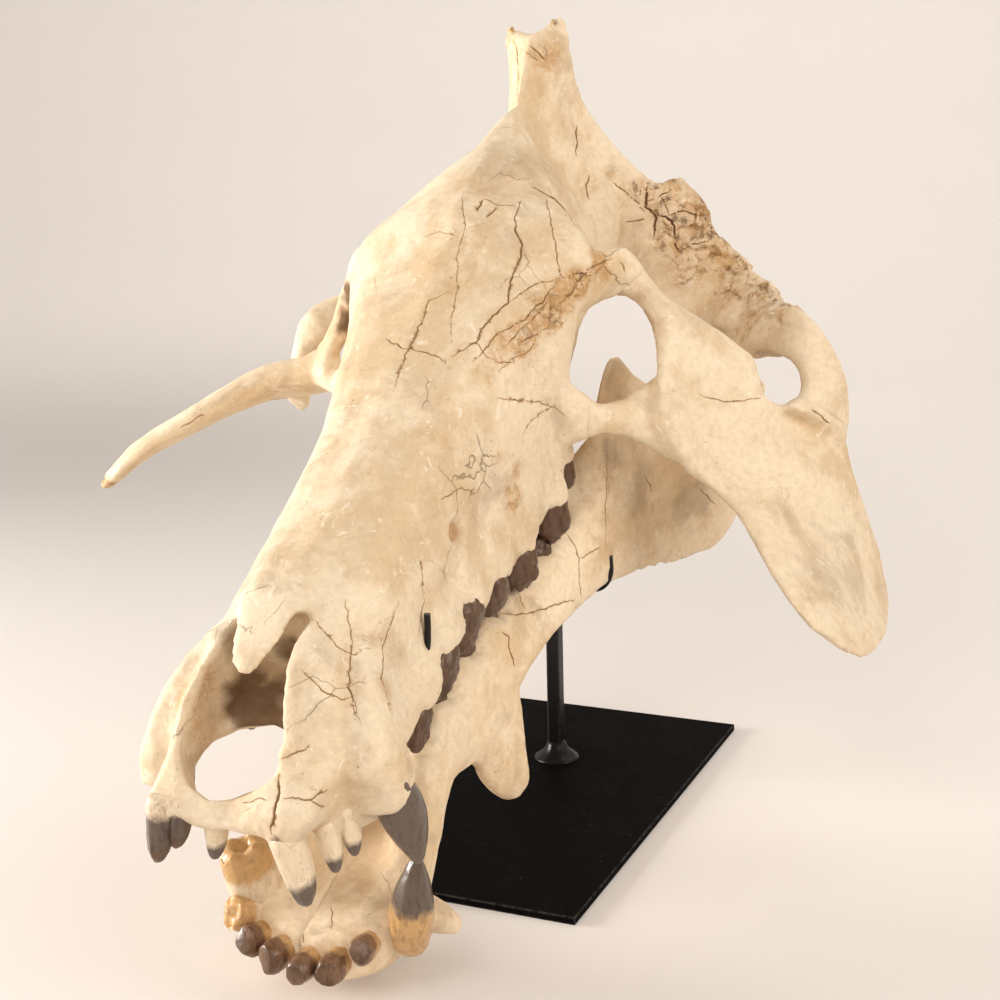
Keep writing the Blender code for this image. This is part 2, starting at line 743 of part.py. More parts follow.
def groove(path):
    """Room for a rod that lies against the bone, a little longer than the rod."""
    last = Vector(path[-1])
    beyond = last + (last - Vector(path[-2])).normalized() * GROOVE_END
    return rod("groove", tuple(path[:-1]) + (tuple(beyond),), ROD_RADIUS + GROOVE_ROOM)


def skull_arm_grooves():
    return [groove(path) for path in (SKULL_ARM_LEFT, mirrored_path(SKULL_ARM_LEFT))]


def jaw_grooves(side):
    paths = (JAW_FRONT_ARM, JAW_FRONT_HOOK, JAW_REAR_HOOK)
    return [groove(p if side > 0 else mirrored_path(p)) for p in paths]


def build_base(black):
    body = box("stand_base", (-PLATE_WIDTH / 2, PLATE_FRONT, 0), (PLATE_WIDTH / 2, PLATE_BACK, PLATE_THICK))
    bevel = body.modifiers.new("edge", "BEVEL")
    bevel.width = 0.8 * MM
    bevel.segments = 1
    apply_modifiers(body)
    finish(body, black, False)
    return body


def build_post(black):
    half = POST_SIDE / 2
    foot = PLATE_THICK + PARTING
    body = box("stand_post", (-half, -half, foot), (half, half, POST_TOP))
    rings = []
    for height, radius in ((0, WELD_RADIUS), (3, WELD_RADIUS - 1.5), (8, half + 3.5), (WELD_HEIGHT, half + 1.0)):
        rings.append([Vector((radius * math.cos(2 * math.pi * k / 16), radius * math.sin(2 * math.pi * k / 16),
                              foot + height)) for k in range(16)])
    combine(body, [loft("weld", rings)], "UNION")
    finish(body, black, False)
    return body


def build_arms(name, paths, black):
    rods = [rod(name, path, ROD_RADIUS) for path in paths]
    body = rods.pop(0)
    body.name = name
    if rods:
        combine(body, rods, "UNION")
    half = POST_SIDE / 2 + PARTING
    combine(body, [box("post room", (-half, -half, 0), (half, half, 460))], "DIFFERENCE")
    keep_largest(body)
    finish(body, black, True)
    return body


def main():
    for obj in list(bpy.data.objects):
        bpy.data.objects.remove(obj, do_unlink=True)
    bone = material("bone", BONE_COLOUR, 0.62)
    black = material("black steel", STAND_COLOUR, 0.35, 0.3)
    build_cranium(bone)
    build_jugal("jugal_left", 1, bone)
    build_jugal("jugal_right", -1, bone)
    build_dentary("dentary_left", 1, bone)
    build_dentary("dentary_right", -1, bone)
    build_base(black)
    build_post(black)
    build_arms("stand_skull_arms", (SKULL_ARM_LEFT, mirrored_path(SKULL_ARM_LEFT)), black)
    build_arms("stand_jaw_front_arm", (JAW_FRONT_ARM, JAW_FRONT_HOOK, mirrored_path(JAW_FRONT_HOOK)), black)
    build_arms("stand_jaw_rear_arm", (JAW_REAR_HOOK, mirrored_path(JAW_REAR_HOOK)), black)


main()
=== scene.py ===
"""Entelodont skull on its museum stand, dressed for the studio.

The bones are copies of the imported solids, made fine and then sculpted with cracks, pits,
seams and broken edges. The teeth are pieces of their own, and so are the parts of the stand.
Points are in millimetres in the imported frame, and MM turns them into metres.
"""

import math

import bmesh
import bpy
import numpy as np
from mathutils import Matrix, Vector, kdtree, noise
from mathutils.bvhtree import BVHTree


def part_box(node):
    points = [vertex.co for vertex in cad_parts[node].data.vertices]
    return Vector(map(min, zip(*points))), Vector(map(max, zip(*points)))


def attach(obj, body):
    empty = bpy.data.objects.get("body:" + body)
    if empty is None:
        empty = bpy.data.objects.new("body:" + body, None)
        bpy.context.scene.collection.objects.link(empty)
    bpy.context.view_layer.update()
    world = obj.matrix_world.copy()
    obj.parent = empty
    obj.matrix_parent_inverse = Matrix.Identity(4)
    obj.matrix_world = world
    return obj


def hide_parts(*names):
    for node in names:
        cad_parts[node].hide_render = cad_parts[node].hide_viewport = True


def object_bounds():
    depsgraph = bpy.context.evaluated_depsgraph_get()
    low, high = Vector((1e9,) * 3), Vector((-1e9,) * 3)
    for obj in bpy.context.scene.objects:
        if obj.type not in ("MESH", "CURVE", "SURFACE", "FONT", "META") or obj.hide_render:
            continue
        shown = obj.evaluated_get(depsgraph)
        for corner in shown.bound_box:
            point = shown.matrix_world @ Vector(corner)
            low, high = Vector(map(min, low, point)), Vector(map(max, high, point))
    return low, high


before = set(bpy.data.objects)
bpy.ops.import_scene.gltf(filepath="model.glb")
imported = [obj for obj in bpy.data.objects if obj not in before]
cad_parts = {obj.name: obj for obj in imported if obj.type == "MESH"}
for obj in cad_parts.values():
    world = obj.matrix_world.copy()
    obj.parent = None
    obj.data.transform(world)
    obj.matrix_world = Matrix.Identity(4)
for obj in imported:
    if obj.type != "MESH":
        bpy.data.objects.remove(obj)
solid_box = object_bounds()

bl_info = {
    "name": "Entelodont Skull On A Stand",
    "version": (1, 0, 0),
    "blender": (4, 5, 0),
    "location": "3D View > Sidebar > Skull",
    "description": "Builds a mounted entelodont skull with its teeth, stand and studio",
    "category": "Add Mesh",
}

MM = 0.001

# the cranium's own axes: its long axis tips down towards the snout
SKULL_TIP = math.radians(30.0)
SKULL_HEIGHT = 500.0

PLATE_X = 135.5
PLATE_BACK = 141.0
PLATE_FRONT = -301.0
PLATE_THICK = 6.35
POST_SIDE = 12.7
POST_TOP = 448.0
ROD_RADIUS = 2.4

SKULL_ARM_LEFT = (
    (0, -5, 340), (5, -60, 318), (12, -160, 290), (26, -300, 250), (40, -378, 232),
    (54, -392, 232), (66, -398, 243), (69, -400, 258), (69, -400, 271),
)
JAW_FRONT_ARM = ((0, -5, 206), (0, -120, 186), (0, -260, 140), (0, -340, 112), (0, -362, 104))
JAW_FRONT_HOOK = (
    (0, -362, 104), (28, -366, 104), (44, -370, 108), (54, -374, 117), (59, -378, 130),
    (59, -380, 140),
)
JAW_REAR_HOOK = (
    (0, -5, 200), (30, -40, 202), (66, -92, 206), (88, -106, 212), (97, -110, 224),
    (98, -112, 242),
)

# teeth: kind, root end, tip, half width, flatness
UPPER_CHEEK_TEETH = (
    ("premolar", (66, -406, 222), (67, -422, 176), 11.5, 0.8),
    ("premolar", (67, -366, 250), (67, -384, 202), 15.0, 0.8),
    ("premolar", (67, -322, 272), (66, -349, 226), 17.5, 0.8),
    ("premolar", (68, -282, 282), (66, -290, 236), 15.0, 0.85),
    ("molar", (69, -238, 292), (67, -240, 243), 16.0, 0.95),
    ("molar", (74, -184, 320), (72, -181, 268), 15.5, 0.95),
    ("molar", (68, -150, 344), (66, -150, 300), 14.0, 0.95),
)
UPPER_CANINE = ("canine", (86, -508, 197), (96, -478, 124), 19.0, 0.9)
RIGHT_UPPER_CANINE = ("canine", (-86, -500, 197), (-89, -474, 136), 13.0, 0.9)
LEFT_UPPER_INCISORS = (
    ("incisor", (40, -556, 172), (50, -546, 117), 12.5, 0.9),
    ("incisor", (54, -530, 170), (60, -525, 132), 8.5, 0.9),
    ("incisor", (62, -516, 176), (68, -514, 140), 8.0, 0.9),
)
RIGHT_UPPER_INCISORS = (
    ("incisor", (-46, -560, 186), (-52, -562, 137), 11.5, 0.9),
    ("incisor", (-34, -556, 184), (-40, -558, 147), 9.5, 0.9),
    ("incisor", (-12, -552, 178), (-14, -552, 141), 9.0, 0.9),
)
LOWER_CANINE = ("canine", (66, -440, 36), (83, -456, 117), 18.5, 0.95)
LOWER_CANINE_STUMP = ("stump", (-52, -444, 56), (-56, -460, 104), 18.5, 0.95)
LOWER_INCISORS = (
    ("stump", (-46, -450, 48), (-57, -476, 60), 13.0, 1.0),
    ("knob", (-30, -460, 42), (-37, -497, 49), 12.0, 0.8),
    ("knob", (-12, -464, 38), (-15, -504, 43), 12.0, 0.8),
    ("knob", (10, -466, 36), (9, -507, 39), 11.5, 0.85),
    ("knob", (28, -460, 38), (31, -503, 40), 11.5, 0.9),
    ("knob", (44, -452, 46), (52, -489, 54), 10.5, 0.9),
)
LOWER_CHEEK_TEETH = (
    ("premolar", (47, -372, 154), (47, -376, 182), 8.0, 0.75),
    ("premolar", (48, -340, 172), (47, -344, 204), 9.5, 0.75),
    ("premolar", (52, -302, 196), (51, -306, 230), 10.5, 0.75),
    ("premolar", (54, -262, 214), (53, -265, 246), 10.5, 0.8),
    ("molar", (58, -222, 232), (57, -224, 262), 11.5, 0.9),
    ("molar", (64, -186, 246), (63, -187, 276), 11.5, 0.9),
)


# places on the bones: point, reach, strength
# ochre stains, and painted shade: the patches in front of the crest and in the slot of the right orbit darken places
# that lie in shade
OCHRE_STAINS_AND_PAINTED_SHADE = (
    ((106, -150, 492), 17, 1.0), ((100, -181, 477), 18, 1.0), ((93, -195, 467), 17, 1.0),
    ((85, -208, 458), 19, 0.9), ((79, -225, 448), 18, 0.9), ((73, -240, 439), 19, 0.9),
    ((66, -257, 431), 17, 0.8), ((61, -272, 423), 14, 0.7), ((73, -261, 321), 13, 0.9),
    ((75, -253, 343), 9, 0.8), ((71, -275, 359), 4, 1.0), ((12, -25, 656), 18, 0.9),
    ((10, -37, 628), 14, 0.6), ((88, 54, 525), 24, 0.6), ((111, 70, 505), 30, 0.6),
    ((131, 78, 486), 28, 0.6), ((152, 70, 470), 28, 0.6), ((176, 50, 451), 26, 0.6),
    ((198, 25, 440), 24, 0.6), ((215, 0, 430), 22, 0.6), ((95, 65, 485), 24, 0.7),
    ((120, 66, 455), 26, 0.6), ((150, 55, 435), 26, 0.7), ((185, 25, 420), 26, 0.8),
    ((64, -433, 254), 7, 0.7), ((75, -483, 244), 8, 0.6), ((-49, -507, 237), 22, 0.9),
    ((-49, -504, 208), 18, 0.7), ((295, -44, 232), 12, 0.4), ((-340, -214, 299), 12, 1.0),
    ((55, -537, 166), 10, 0.8), ((14, -231, 484), 26, 0.25), ((70, -184, 511), 26, 0.4),
    ((7, -156, 556), 26, 0.5), ((30, -140, 558), 24, 0.45), ((254, -123, 271), 40, 0.25), ((-143, -118, 436), 14, 0.9),
    ((-60, -160, 500), 30, 0.3), ((-110, 70, 500), 30, 0.8), ((-140, 66, 470), 28, 0.8),
    ((-170, 48, 450), 28, 0.8), ((34, -8, 590), 16, 0.5), ((52, -10, 550), 20, 0.4),
    ((66, -395, 275), 16, 0.5), ((62, -500, 245), 14, 0.4), ((94, -112, 310), 14, 0.7),
    ((97, -118, 280), 12, 0.6), ((94, -118, 250), 12, 0.5), ((40, -560, 176), 10, 0.5),
    ((60, -330, 311), 10, 0.15), ((-60, -330, 311), 10, 0.15), ((86, -120, 520), 20, 0.5),
    ((70, -240, 436), 26, 0.45), ((92, -196, 466), 28, 0.5),
)
# dark stains, and painted shade: the slot of the right orbit, the hollow in front of the crest, the rear of the left
# jaw under the cheek bone and the pit on the left side of the snout are painted shade; the small hole by the left
# incisors and the patches inside the nose opening and on the lower left cheek flange are darkened
DARK_STAINS_AND_PAINTED_SHADE = (
    ((-32, -464, 217), 26, 1.0), ((-22, -474, 211), 22, 1.0), ((-39, -461, 227), 20, 0.9),
    ((-38, -480, 265), 12, 0.6), ((-8, -454, 253), 14, 0.9), ((2, -440, 262), 12, 0.8),
    ((41, -564, 167), 3, 1.0), ((-143, -118, 436), 12, 1.0), ((-134, -124, 460), 12, 1.0),
    ((-150, -114, 417), 7, 0.6), ((0, -130, 573), 32, 0.17), ((-16, -165, 546), 28, 0.14),
    ((105, -53, 287), 24, 0.32), ((131, 8, 266), 22, 0.34), ((100, -100, 330), 16, 0.25),
    ((272, -110, 225), 40, 0.08), ((60, -338, 311), 6, 0.4),
)
ROUGH_PATCHES = (
    ((100, -181, 477), 16, 0.8), ((85, -208, 458), 15, 0.7), ((73, -240, 439), 13, 0.5),
    ((81, 43, 538), 16, 0.8), ((90, 62, 532), 20, 1.0), ((108, 74, 515), 24, 1.0),
    ((124, 80, 500), 24, 1.0), ((142, 76, 482), 24, 1.0), ((160, 68, 468), 22, 1.0),
    ((180, 50, 455), 22, 1.0), ((200, 28, 446), 20, 0.9), ((216, 8, 438), 16, 0.7),
    ((113, 66, 473), 22, 0.8), ((95, 62, 495), 20, 0.7), ((150, 62, 450), 18, 0.6),
    ((-345, -211, 296), 14, 1.0), ((73, -261, 321), 12, 0.5), ((10, -16, 686), 12, 0.8),
    ((-30, -14, 676), 10, 1.0), ((-108, 72, 515), 24, 0.9), ((-132, 76, 490), 24, 0.9),
    ((-160, 68, 468), 22, 0.9), ((-190, 40, 450), 20, 0.8),
)
# where two bones meet: a point on the seam, its normal, and how far it runs
SEAMS = (
    ((123, -121, 476), (0.55, 0.35, -0.76), 38), ((-123, -121, 476), (-0.55, 0.35, -0.76), 38),
    ((100, -166, 371), (0.92, 0.38, -0.10), 42), ((-100, -166, 371), (-0.92, 0.38, -0.10), 42),
    ((247, -31, 360), (0.06, -0.55, -0.83), 60), ((-247, -31, 360), (-0.06, -0.55, -0.83), 60),
    ((0, -430, 60), (1.0, 0.0, 0.0), 125),
)
SEAM_REACH = 3.2
SEAM_PULL = 1.5
HOLLOWS = (
    # point, direction into the bone, reach, depth
    ((63, -334, 314), (-1.0, 0.25, -0.2), 9.5, 8.5),
    ((-63, -334, 314), (1.0, 0.25, -0.2), 9.5, 8.5),
)
BONE_CRACKS = {
    "cranium": (
        (1.7, 2.0, ((45, -161, 540), (47, -179, 528), (51, -187, 517), (58, -193, 508), (60, -200, 498), (59, -213, 487), (60, -224, 475), (62, -230, 468), (57, -242, 460), (51, -253, 452), (50, -266, 442), (38, -283, 432))),
        (1.0, 1.0, ((58, -141, 543), (70, -163, 527), (78, -177, 514), (83, -183, 502), (89, -192, 483))),
        (1.1, 1.0, ((16, -238, 476), (4, -247, 469), (4, -262, 457), (4, -286, 438), (5, -304, 423), (7, -319, 410))),
        (1.2, 1.2, ((-22, -275, 443), (-1, -285, 439), (5, -285, 438), (19, -285, 436), (37, -288, 429))),
        (0.9, 0.9, ((89, -192, 483), (75, -205, 480), (68, -218, 474), (62, -230, 468))),
        (1.1, 1.2, ((89, -192, 481), (80, -211, 465), (74, -228, 455), (60, -254, 444), (53, -278, 428))),
        (0.7, 0.6, ((-3, -168, 549), (12, -197, 519), (12, -213, 501), (21, -233, 480), (27, -258, 457), (34, -276, 440))),
        (2.0, 1.4, ((17, -173, 541), (16, -184, 533))),
        (2.0, 1.4, ((30, -176, 536), (26, -186, 528))),
        (0.9, 0.9, ((18, -172, 542), (31, -174, 537), (44, -168, 536))),
        (1.8, 1.8, ((46, -141, 550), (58, -139, 544), (70, -137, 536), (77, -138, 528), (86, -152, 520))),
        (0.9, 0.8, ((68, -274, 402), (76, -255, 397), (84, -226, 391), (88, -199, 381), (93, -191, 373))),
        (0.8, 0.8, ((78, -247, 368), (80, -241, 376), (84, -225, 382), (87, -212, 384))),
        (2.2, 2.5, ((-19, -18, 670), (-15, -23, 658), (-12, -27, 644), (-9, -35, 632), (0, -58, 619))),
        (1.8, 1.8, ((1, -32, 663), (7, -29, 658), (13, -25, 652))),
        (1.0, 1.0, ((-2, -33, 659), (4, -35, 654), (9, -31, 651))),
        (1.8, 1.8, ((33, -5, 597), (34, -9, 582), (36, -17, 570))),
        (1.8, 1.5, ((46, -9, 554), (44, -14, 546), (46, -12, 533))),
        (3.0, 4.0, ((81, 43, 542), (79, 43, 532), (78, 46, 523), (83, 54, 516), (84, 57, 511), (81, 59, 496))),
        (2.6, 4.0, ((83, 55, 516), (92, 62, 514), (98, 66, 505), (99, 66, 488), (103, 65, 481))),
        (1.8, 2.5, ((92, 62, 515), (104, 68, 519), (115, 75, 515), (122, 76, 505), (129, 75, 494))),
        (1.2, 1.4, ((103, 65, 482), (116, 69, 488), (129, 74, 492))),
        (1.2, 1.4, ((90, 54, 532), (94, 62, 516))),
        (1.4, 1.6, ((88, 51, 532), (98, 60, 538))),
        (1.3, 1.4, ((54, 23, 547), (65, 34, 535), (77, 47, 519))),
        (1.3, 1.4, ((59, 43, 510), (68, 46, 511), (76, 50, 512))),
        (1.2, 1.2, ((119, -138, 491), (123, -136, 483))),
        (0.9, 0.9, ((39, -460, 295), (52, -476, 273), (58, -494, 252), (70, -508, 231))),
        (0.9, 0.9, ((59, -423, 286), (61, -447, 265), (72, -480, 249), (80, -489, 229))),
        (0.8, 0.8, ((22, -475, 285), (40, -485, 275), (55, -482, 265), (62, -469, 264))),
        (0.9, 0.8, ((30, -506, 261), (46, -510, 250), (57, -504, 242), (66, -498, 245))),
        (0.8, 0.7, ((59, -387, 305), (63, -392, 278), (66, -410, 255))),
        (1.0, 1.0, ((33, -540, 212), (42, -537, 216), (49, -532, 219))),
        (1.0, 1.0, ((42, -554, 192), (55, -550, 191), (60, -541, 192), (61, -533, 194))),
        (0.9, 0.9, ((57, -548, 190), (62, -536, 182))),
        (1.0, 1.0, ((44, -563, 164), (52, -552, 159))),
        (2.2, 2.6, ((34, -544, 203), (37, -551, 196), (39, -557, 188), (39, -563, 180), (38, -564, 172))),
        (0.8, 0.8, ((11, -555, 185), (22, -555, 189), (33, -556, 190))),
        (0.8, 0.7, ((56, -347, 339), (60, -319, 342), (64, -297, 335))),
        (0.7, 0.6, ((-23, -199, 515), (-9, -199, 518), (9, -203, 514))),
        (0.7, 0.6, ((83, -219, 446), (80, -232, 432), (72, -250, 427), (67, -265, 420))),
        (0.8, 0.7, ((50, -266, 442), (59, -267, 432), (67, -260, 426), (74, -247, 425))),
        (1.2, 1.4, ((105, -168, 487), (99, -181, 479), (96, -189, 469), (91, -199, 463))),
        (1.2, 1.4, ((113, -142, 494), (105, -155, 490), (101, -175, 486), (94, -187, 484))),
        (1.0, 1.0, ((84, -205, 467), (79, -218, 456), (73, -235, 447), (69, -249, 437))),
        (1.0, 1.0, ((90, -204, 452), (82, -222, 443), (74, -238, 439))),
    ),
    "dentary_left": (
        (1.2, 1.2, ((73, -161, 274), (85, -160, 261), (88, -159, 250), (90, -164, 234), (91, -162, 219))),
        (1.0, 1.0, ((63, -263, 232), (71, -250, 227), (77, -228, 224), (84, -202, 223), (89, -172, 219))),
        (1.6, 1.8, ((66, -272, 219), (70, -267, 214), (72, -267, 202), (74, -263, 190))),
        (0.9, 0.9, ((65, -239, 242), (70, -241, 235), (74, -237, 228))),
        (0.8, 0.7, ((94, -108, 332), (97, -113, 308), (97, -118, 279), (97, -119, 253))),
        (0.9, 0.9, ((88, -159, 250), (92, -143, 252), (95, -128, 253))),
        (1.3, 1.2, ((106, -45, 297), (108, -36, 289), (109, -33, 281))),
        (0.9, 0.8, ((137, 16, 276), (147, 33, 257))),
        (0.8, 0.7, ((1, -472, 54), (3, -481, 48))),
        (0.8, 0.7, ((11, -451, 65), (22, -470, 58))),
    ),
    "jugal_left": (
        (0.8, 0.7, ((178, -117, 383), (198, -100, 376), (218, -76, 376))),
        (1.4, 1.5, ((252, -46, 363), (263, -25, 348))),
    ),
    "jugal_right": (
        (0.9, 0.8, ((-270, -194, 348), (-252, -181, 359))),
    ),
}


def clear_selection():
    if bpy.context.mode != "OBJECT":
        bpy.ops.object.mode_set(mode="OBJECT")
    bpy.ops.object.select_all(action="DESELECT")


def make_active(obj):
    clear_selection()
    obj.select_set(True)
    bpy.context.view_layer.objects.active = obj


def enter_edit(obj, kind="VERT"):
    make_active(obj)
    bpy.ops.object.mode_set(mode="EDIT")
    bpy.ops.mesh.select_mode(type=kind)
    bpy.ops.mesh.select_all(action="SELECT")


def leave_edit():
    bpy.ops.object.mode_set(mode="OBJECT")


def apply_modifier(obj, kind, **values):
    modifier = obj.modifiers.new(kind.title(), kind)
    for key, value in values.items():
        setattr(modifier, key, value)
    make_active(obj)
    bpy.ops.object.modifier_apply(modifier=modifier.name)


def dress(obj, finish):
    """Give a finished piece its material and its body."""
    obj.data.materials.clear()
    obj.data.materials.append(finish)
    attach(obj, "root")


def smooth_step(value):
    value = np.clip(value, 0.0, 1.0)
    return value * value * (3.0 - 2.0 * value)


class Skin:
    """The points of a bone in millimetres, ready for sculpting."""

    def __init__(self, obj):
        self.obj = obj
        self.read()

    def read(self):
        mesh = self.obj.data
        flat = np.empty(len(mesh.vertices) * 3, np.float32)
        mesh.vertices.foreach_get("co", flat)
        self.points = flat.reshape(-1, 3).astype(float) / MM
        ends = np.empty(len(mesh.edges) * 2, np.int32)
        mesh.edges.foreach_get("vertices", ends)
        self.ends = ends.reshape(-1, 2)
        self.links = np.bincount(ends, minlength=len(self.points)).astype(float)
        self.ragged = None
        self.read_normals()

    def read_normals(self):
        mesh = self.obj.data
        flat = np.empty(len(mesh.vertices) * 3, np.float32)
        mesh.vertex_normals.foreach_get("vector", flat)
        self.normals = flat.reshape(-1, 3).astype(float)

    def write(self):
        self.obj.data.vertices.foreach_set("co", (self.points * MM).astype(np.float32).ravel())
        self.obj.data.update()
        self.read_normals()

    def spread(self, values):
        """The mean of each point's neighbours."""
        first, second = self.ends[:, 0], self.ends[:, 1]
        size = len(self.points)
        if values.ndim == 1:
            total = (np.bincount(first, values[second], size) + np.bincount(second, values[first], size))
            return total / self.links
        columns = [np.bincount(first, values[second, k], size) + np.bincount(second, values[first, k], size)
                   for k in range(values.shape[1])]
        return np.stack(columns, axis=1) / self.links[:, None]

    def soften(self, rounds):
        """Even out the facets and keep the volume."""
        for _ in range(rounds):
            for pull in (0.5, -0.53):
                self.points += pull * (self.spread(self.points) - self.points)
        self.write()

    def curve(self, rounds):
        """Above nought in hollows and below it on ridges."""
        step = self.spread(self.points) - self.points
        bend = np.einsum("ij,ij->i", step, self.normals)
        for _ in range(rounds):
            bend = self.spread(bend)
        return bend

    def near(self, places):
        """How strongly each point belongs to a list of round places."""
        if self.ragged is None:
            self.ragged = fractal(self.points, 15.0, 3, 8) * 0.55
        mask = np.zeros(len(self.points))
        for centre, reach, strength in places:
            away = np.linalg.norm(self.points - np.array(centre, float), axis=1)
            mask = np.maximum(mask, strength * smooth_step((1.3 - away / reach + self.ragged) / 0.8))
        return mask

    def close_seams(self):
        """Bring the rounded lips of each seam together."""
        for centre, normal, reach in SEAMS:
            normal = np.array(Vector(normal).normalized())
            offset = self.points - np.array(centre, float)
            height = offset @ normal
            near = smooth_step(1.2 - np.abs(height) / SEAM_REACH)
            near *= np.linalg.norm(offset, axis=1) < reach
            self.points -= (near * np.sign(height) * SEAM_PULL)[:, None] * normal
        self.write()

    def keep(self, name, values):
        attribute = self.obj.data.attributes.new(name, "FLOAT", "POINT")
        attribute.data.foreach_set("value", values.astype(np.float32))


def fractal(points, size, octaves, seed):
    """Cloudy noise about nought, with features of a size in millimetres."""
    shift = Vector((seed * 17.3, seed * 5.1, seed * 9.7))
    return np.array([noise.fractal(Vector(p) / size + shift, 0.9, 2.1, octaves) for p in points])


def copy_of_node(node, name):
    """A bone's solid as a new object with its loose triangles merged."""
    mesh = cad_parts[node].data.copy()
    mesh.name = name
    obj = bpy.data.objects.new(name, mesh)
    bpy.context.scene.collection.objects.link(obj)
    enter_edit(obj)
    bpy.ops.mesh.remove_doubles(threshold=0.00002)
    leave_edit()
    return obj


# how far along a crown the bone starts to draw in, and how wide around it
TUCK_REACH = {"canine": (0.24, 1.6), "incisor": (0.3, 1.1), "stump": (0.45, 1.2)}


def tuck_teeth(skin, teeth):
    """Draw the solid's coarse crowns in, so that the fine teeth cover them."""
    for kind, root, tip, radius, _ in teeth:
        root = np.array(root, float)
        axis = np.array(tip, float) - root
        length = np.linalg.norm(axis)
        axis /= length
        offset = skin.points - root
        along = offset @ axis
        side = offset - along[:, None] * axis
        away = np.linalg.norm(side, axis=1)
        start, reach = TUCK_REACH.get(kind, (0.28, 1.4))
        inside = smooth_step((along / length - start) / 0.15) * (along < length * 1.25)
        inside *= smooth_step((reach + 0.2 - away / radius) / 0.2)
        drop = inside * np.clip(along - (start + 0.1) * length, 0.0, None) * 0.6
        skin.points -= (inside * 0.6)[:, None] * side + drop[:, None] * axis


def swell_sockets(skin, teeth, height):
    """The jaw bulges over each root, and the gum line rises and falls."""
    for _, root, tip, radius, _ in teeth:
        root = np.array(root, float)
        axis = np.array(tip, float) - root
        axis /= np.linalg.norm(axis)
        offset = skin.points - (root + axis * 4.0)
        along = offset @ axis
        across = np.linalg.norm(offset - along[:, None] * axis, axis=1)
        amount = np.exp(-(along / (radius * 1.6)) ** 2) * np.exp(-(np.clip(across - radius, 0, None) / 5.0) ** 2)
        skin.points += (amount * height)[:, None] * skin.normals


CRACK_STEP = 0.7
CRACK_MARGIN = 2.2
CRACK_DEPTH = 0.5
BLOCK_SIZE = 16.0
BLOCK_LIFT = 3.0
BLOCK_SPLIT = 1.0
MOST_TRIANGLES = 190000


def crack_trails(obj, cracks):
    """Fine wandering points along each crack, laid on the surface."""
    surface = BVHTree.FromPolygons([Vector(v.co) for v in obj.data.vertices],
                                   [tuple(p.vertices) for p in obj.data.polygons])
    trail = []
    for number, (width, depth, path) in enumerate(cracks):
        spots = [Vector(p) for p in path]
        lengths = [(b - a).length for a, b in zip(spots, spots[1:])]
        total = sum(lengths)
        done = 0.0
        for a, b, length in zip(spots, spots[1:], lengths):
            _, normal, _, _ = surface.find_nearest((a + b) / 2 * MM)
            across = (b - a).cross(normal).normalized()
            steps = max(2, int(length / CRACK_STEP))
            for k in range(steps):
                share = k / steps
                spot = a.lerp(b, share)
                wander = noise.noise(spot / 7.0 + Vector((number * 3.1, 0, 0))) * 1.6
                wander += noise.noise(spot / 2.4 + Vector((0, number * 2.7, 0))) * 0.45
                found = surface.find_nearest((spot + across * wander) * MM)
                if found[0] is None:
                    continue
                place = (done + share * length) / total
                taper = min(1.0, 4.0 * min(place, 1.0 - place) + 0.25)
                uneven = 0.75 + 0.5 * noise.noise(spot / 5.0)
                trail.append((found[0] / MM, width * taper * uneven, depth * taper))
            done += length
    return trail


def nearest_in_trail(points, trail):
    tree = kdtree.KDTree(len(trail))
    for i, (spot, _, _) in enumerate(trail):
        tree.insert(spot, i)
    tree.balance()
    away = np.empty(len(points))
    width = np.empty(len(points))
    depth = np.empty(len(points))
    for i, point in enumerate(points):
        _, k, d = tree.find(point)
        away[i] = d
        width[i] = trail[k][1]
        depth[i] = trail[k][2]
    return away, width, depth


def refine_near(obj, flags, cuts):
    """Finer faces where they are wanted."""
    bm = bmesh.new()
    bm.from_mesh(obj.data)
    bm.verts.ensure_lookup_table()
    edges = [e for e in bm.edges if flags[e.verts[0].index] and flags[e.verts[1].index]]
    bmesh.ops.subdivide_edges(bm, edges=edges, cuts=cuts, use_grid_fill=True)
    bm.to_mesh(obj.data)
    bm.free()


def carve_cracks(obj, cracks):
    """Open the cracks in the surface and return how cracked each point is."""
    if not cracks:
        return Skin(obj), None
    trail = crack_trails(obj, cracks)
    skin = Skin(obj)
    away, width, _ = nearest_in_trail(skin.points, trail)
    refine_near(obj, away < width / 2 + CRACK_MARGIN, 3)
    skin = Skin(obj)
    away, width, depth = nearest_in_trail(skin.points, trail)
    share = away / (width * 0.42 + 0.2)
    groove = smooth_step(1.25 - share)
    skin.points -= (groove * depth * CRACK_DEPTH)[:, None] * skin.normals
    skin.write()
    return skin, smooth_step(1.55 - share)


def block_pattern(skin):
    """Uneven blocks in the broken places: how high each one stands, and the splits between them."""
    rough = skin.near(ROUGH_PATCHES)
    lift = np.zeros(len(skin.points))
    split = np.zeros(len(skin.points))
    bend = fractal(skin.points, 10.0, 2, 6) * 2.5
    for i in np.nonzero(rough > 0.05)[0]:
        spot = (Vector(skin.points[i]) + Vector((bend[i], -bend[i], bend[i]))) / BLOCK_SIZE
        away, centres = noise.voronoi(spot)
        lift[i] = noise.noise(centres[0] * 7.3) * 2.0
        split[i] = 1.0 - (away[1] - away[0]) * (9.0 + 14.0 * abs(bend[i]))
    return lift * rough, smooth_step(split) * smooth_step((rough - 0.25) / 0.4)


def break_blocks(skin):
    """Stand the blocks up and open the splits between them."""
    lift, split = block_pattern(skin)
    skin.points += (lift * BLOCK_LIFT - split * BLOCK_SPLIT)[:, None] * skin.normals
    skin.write()


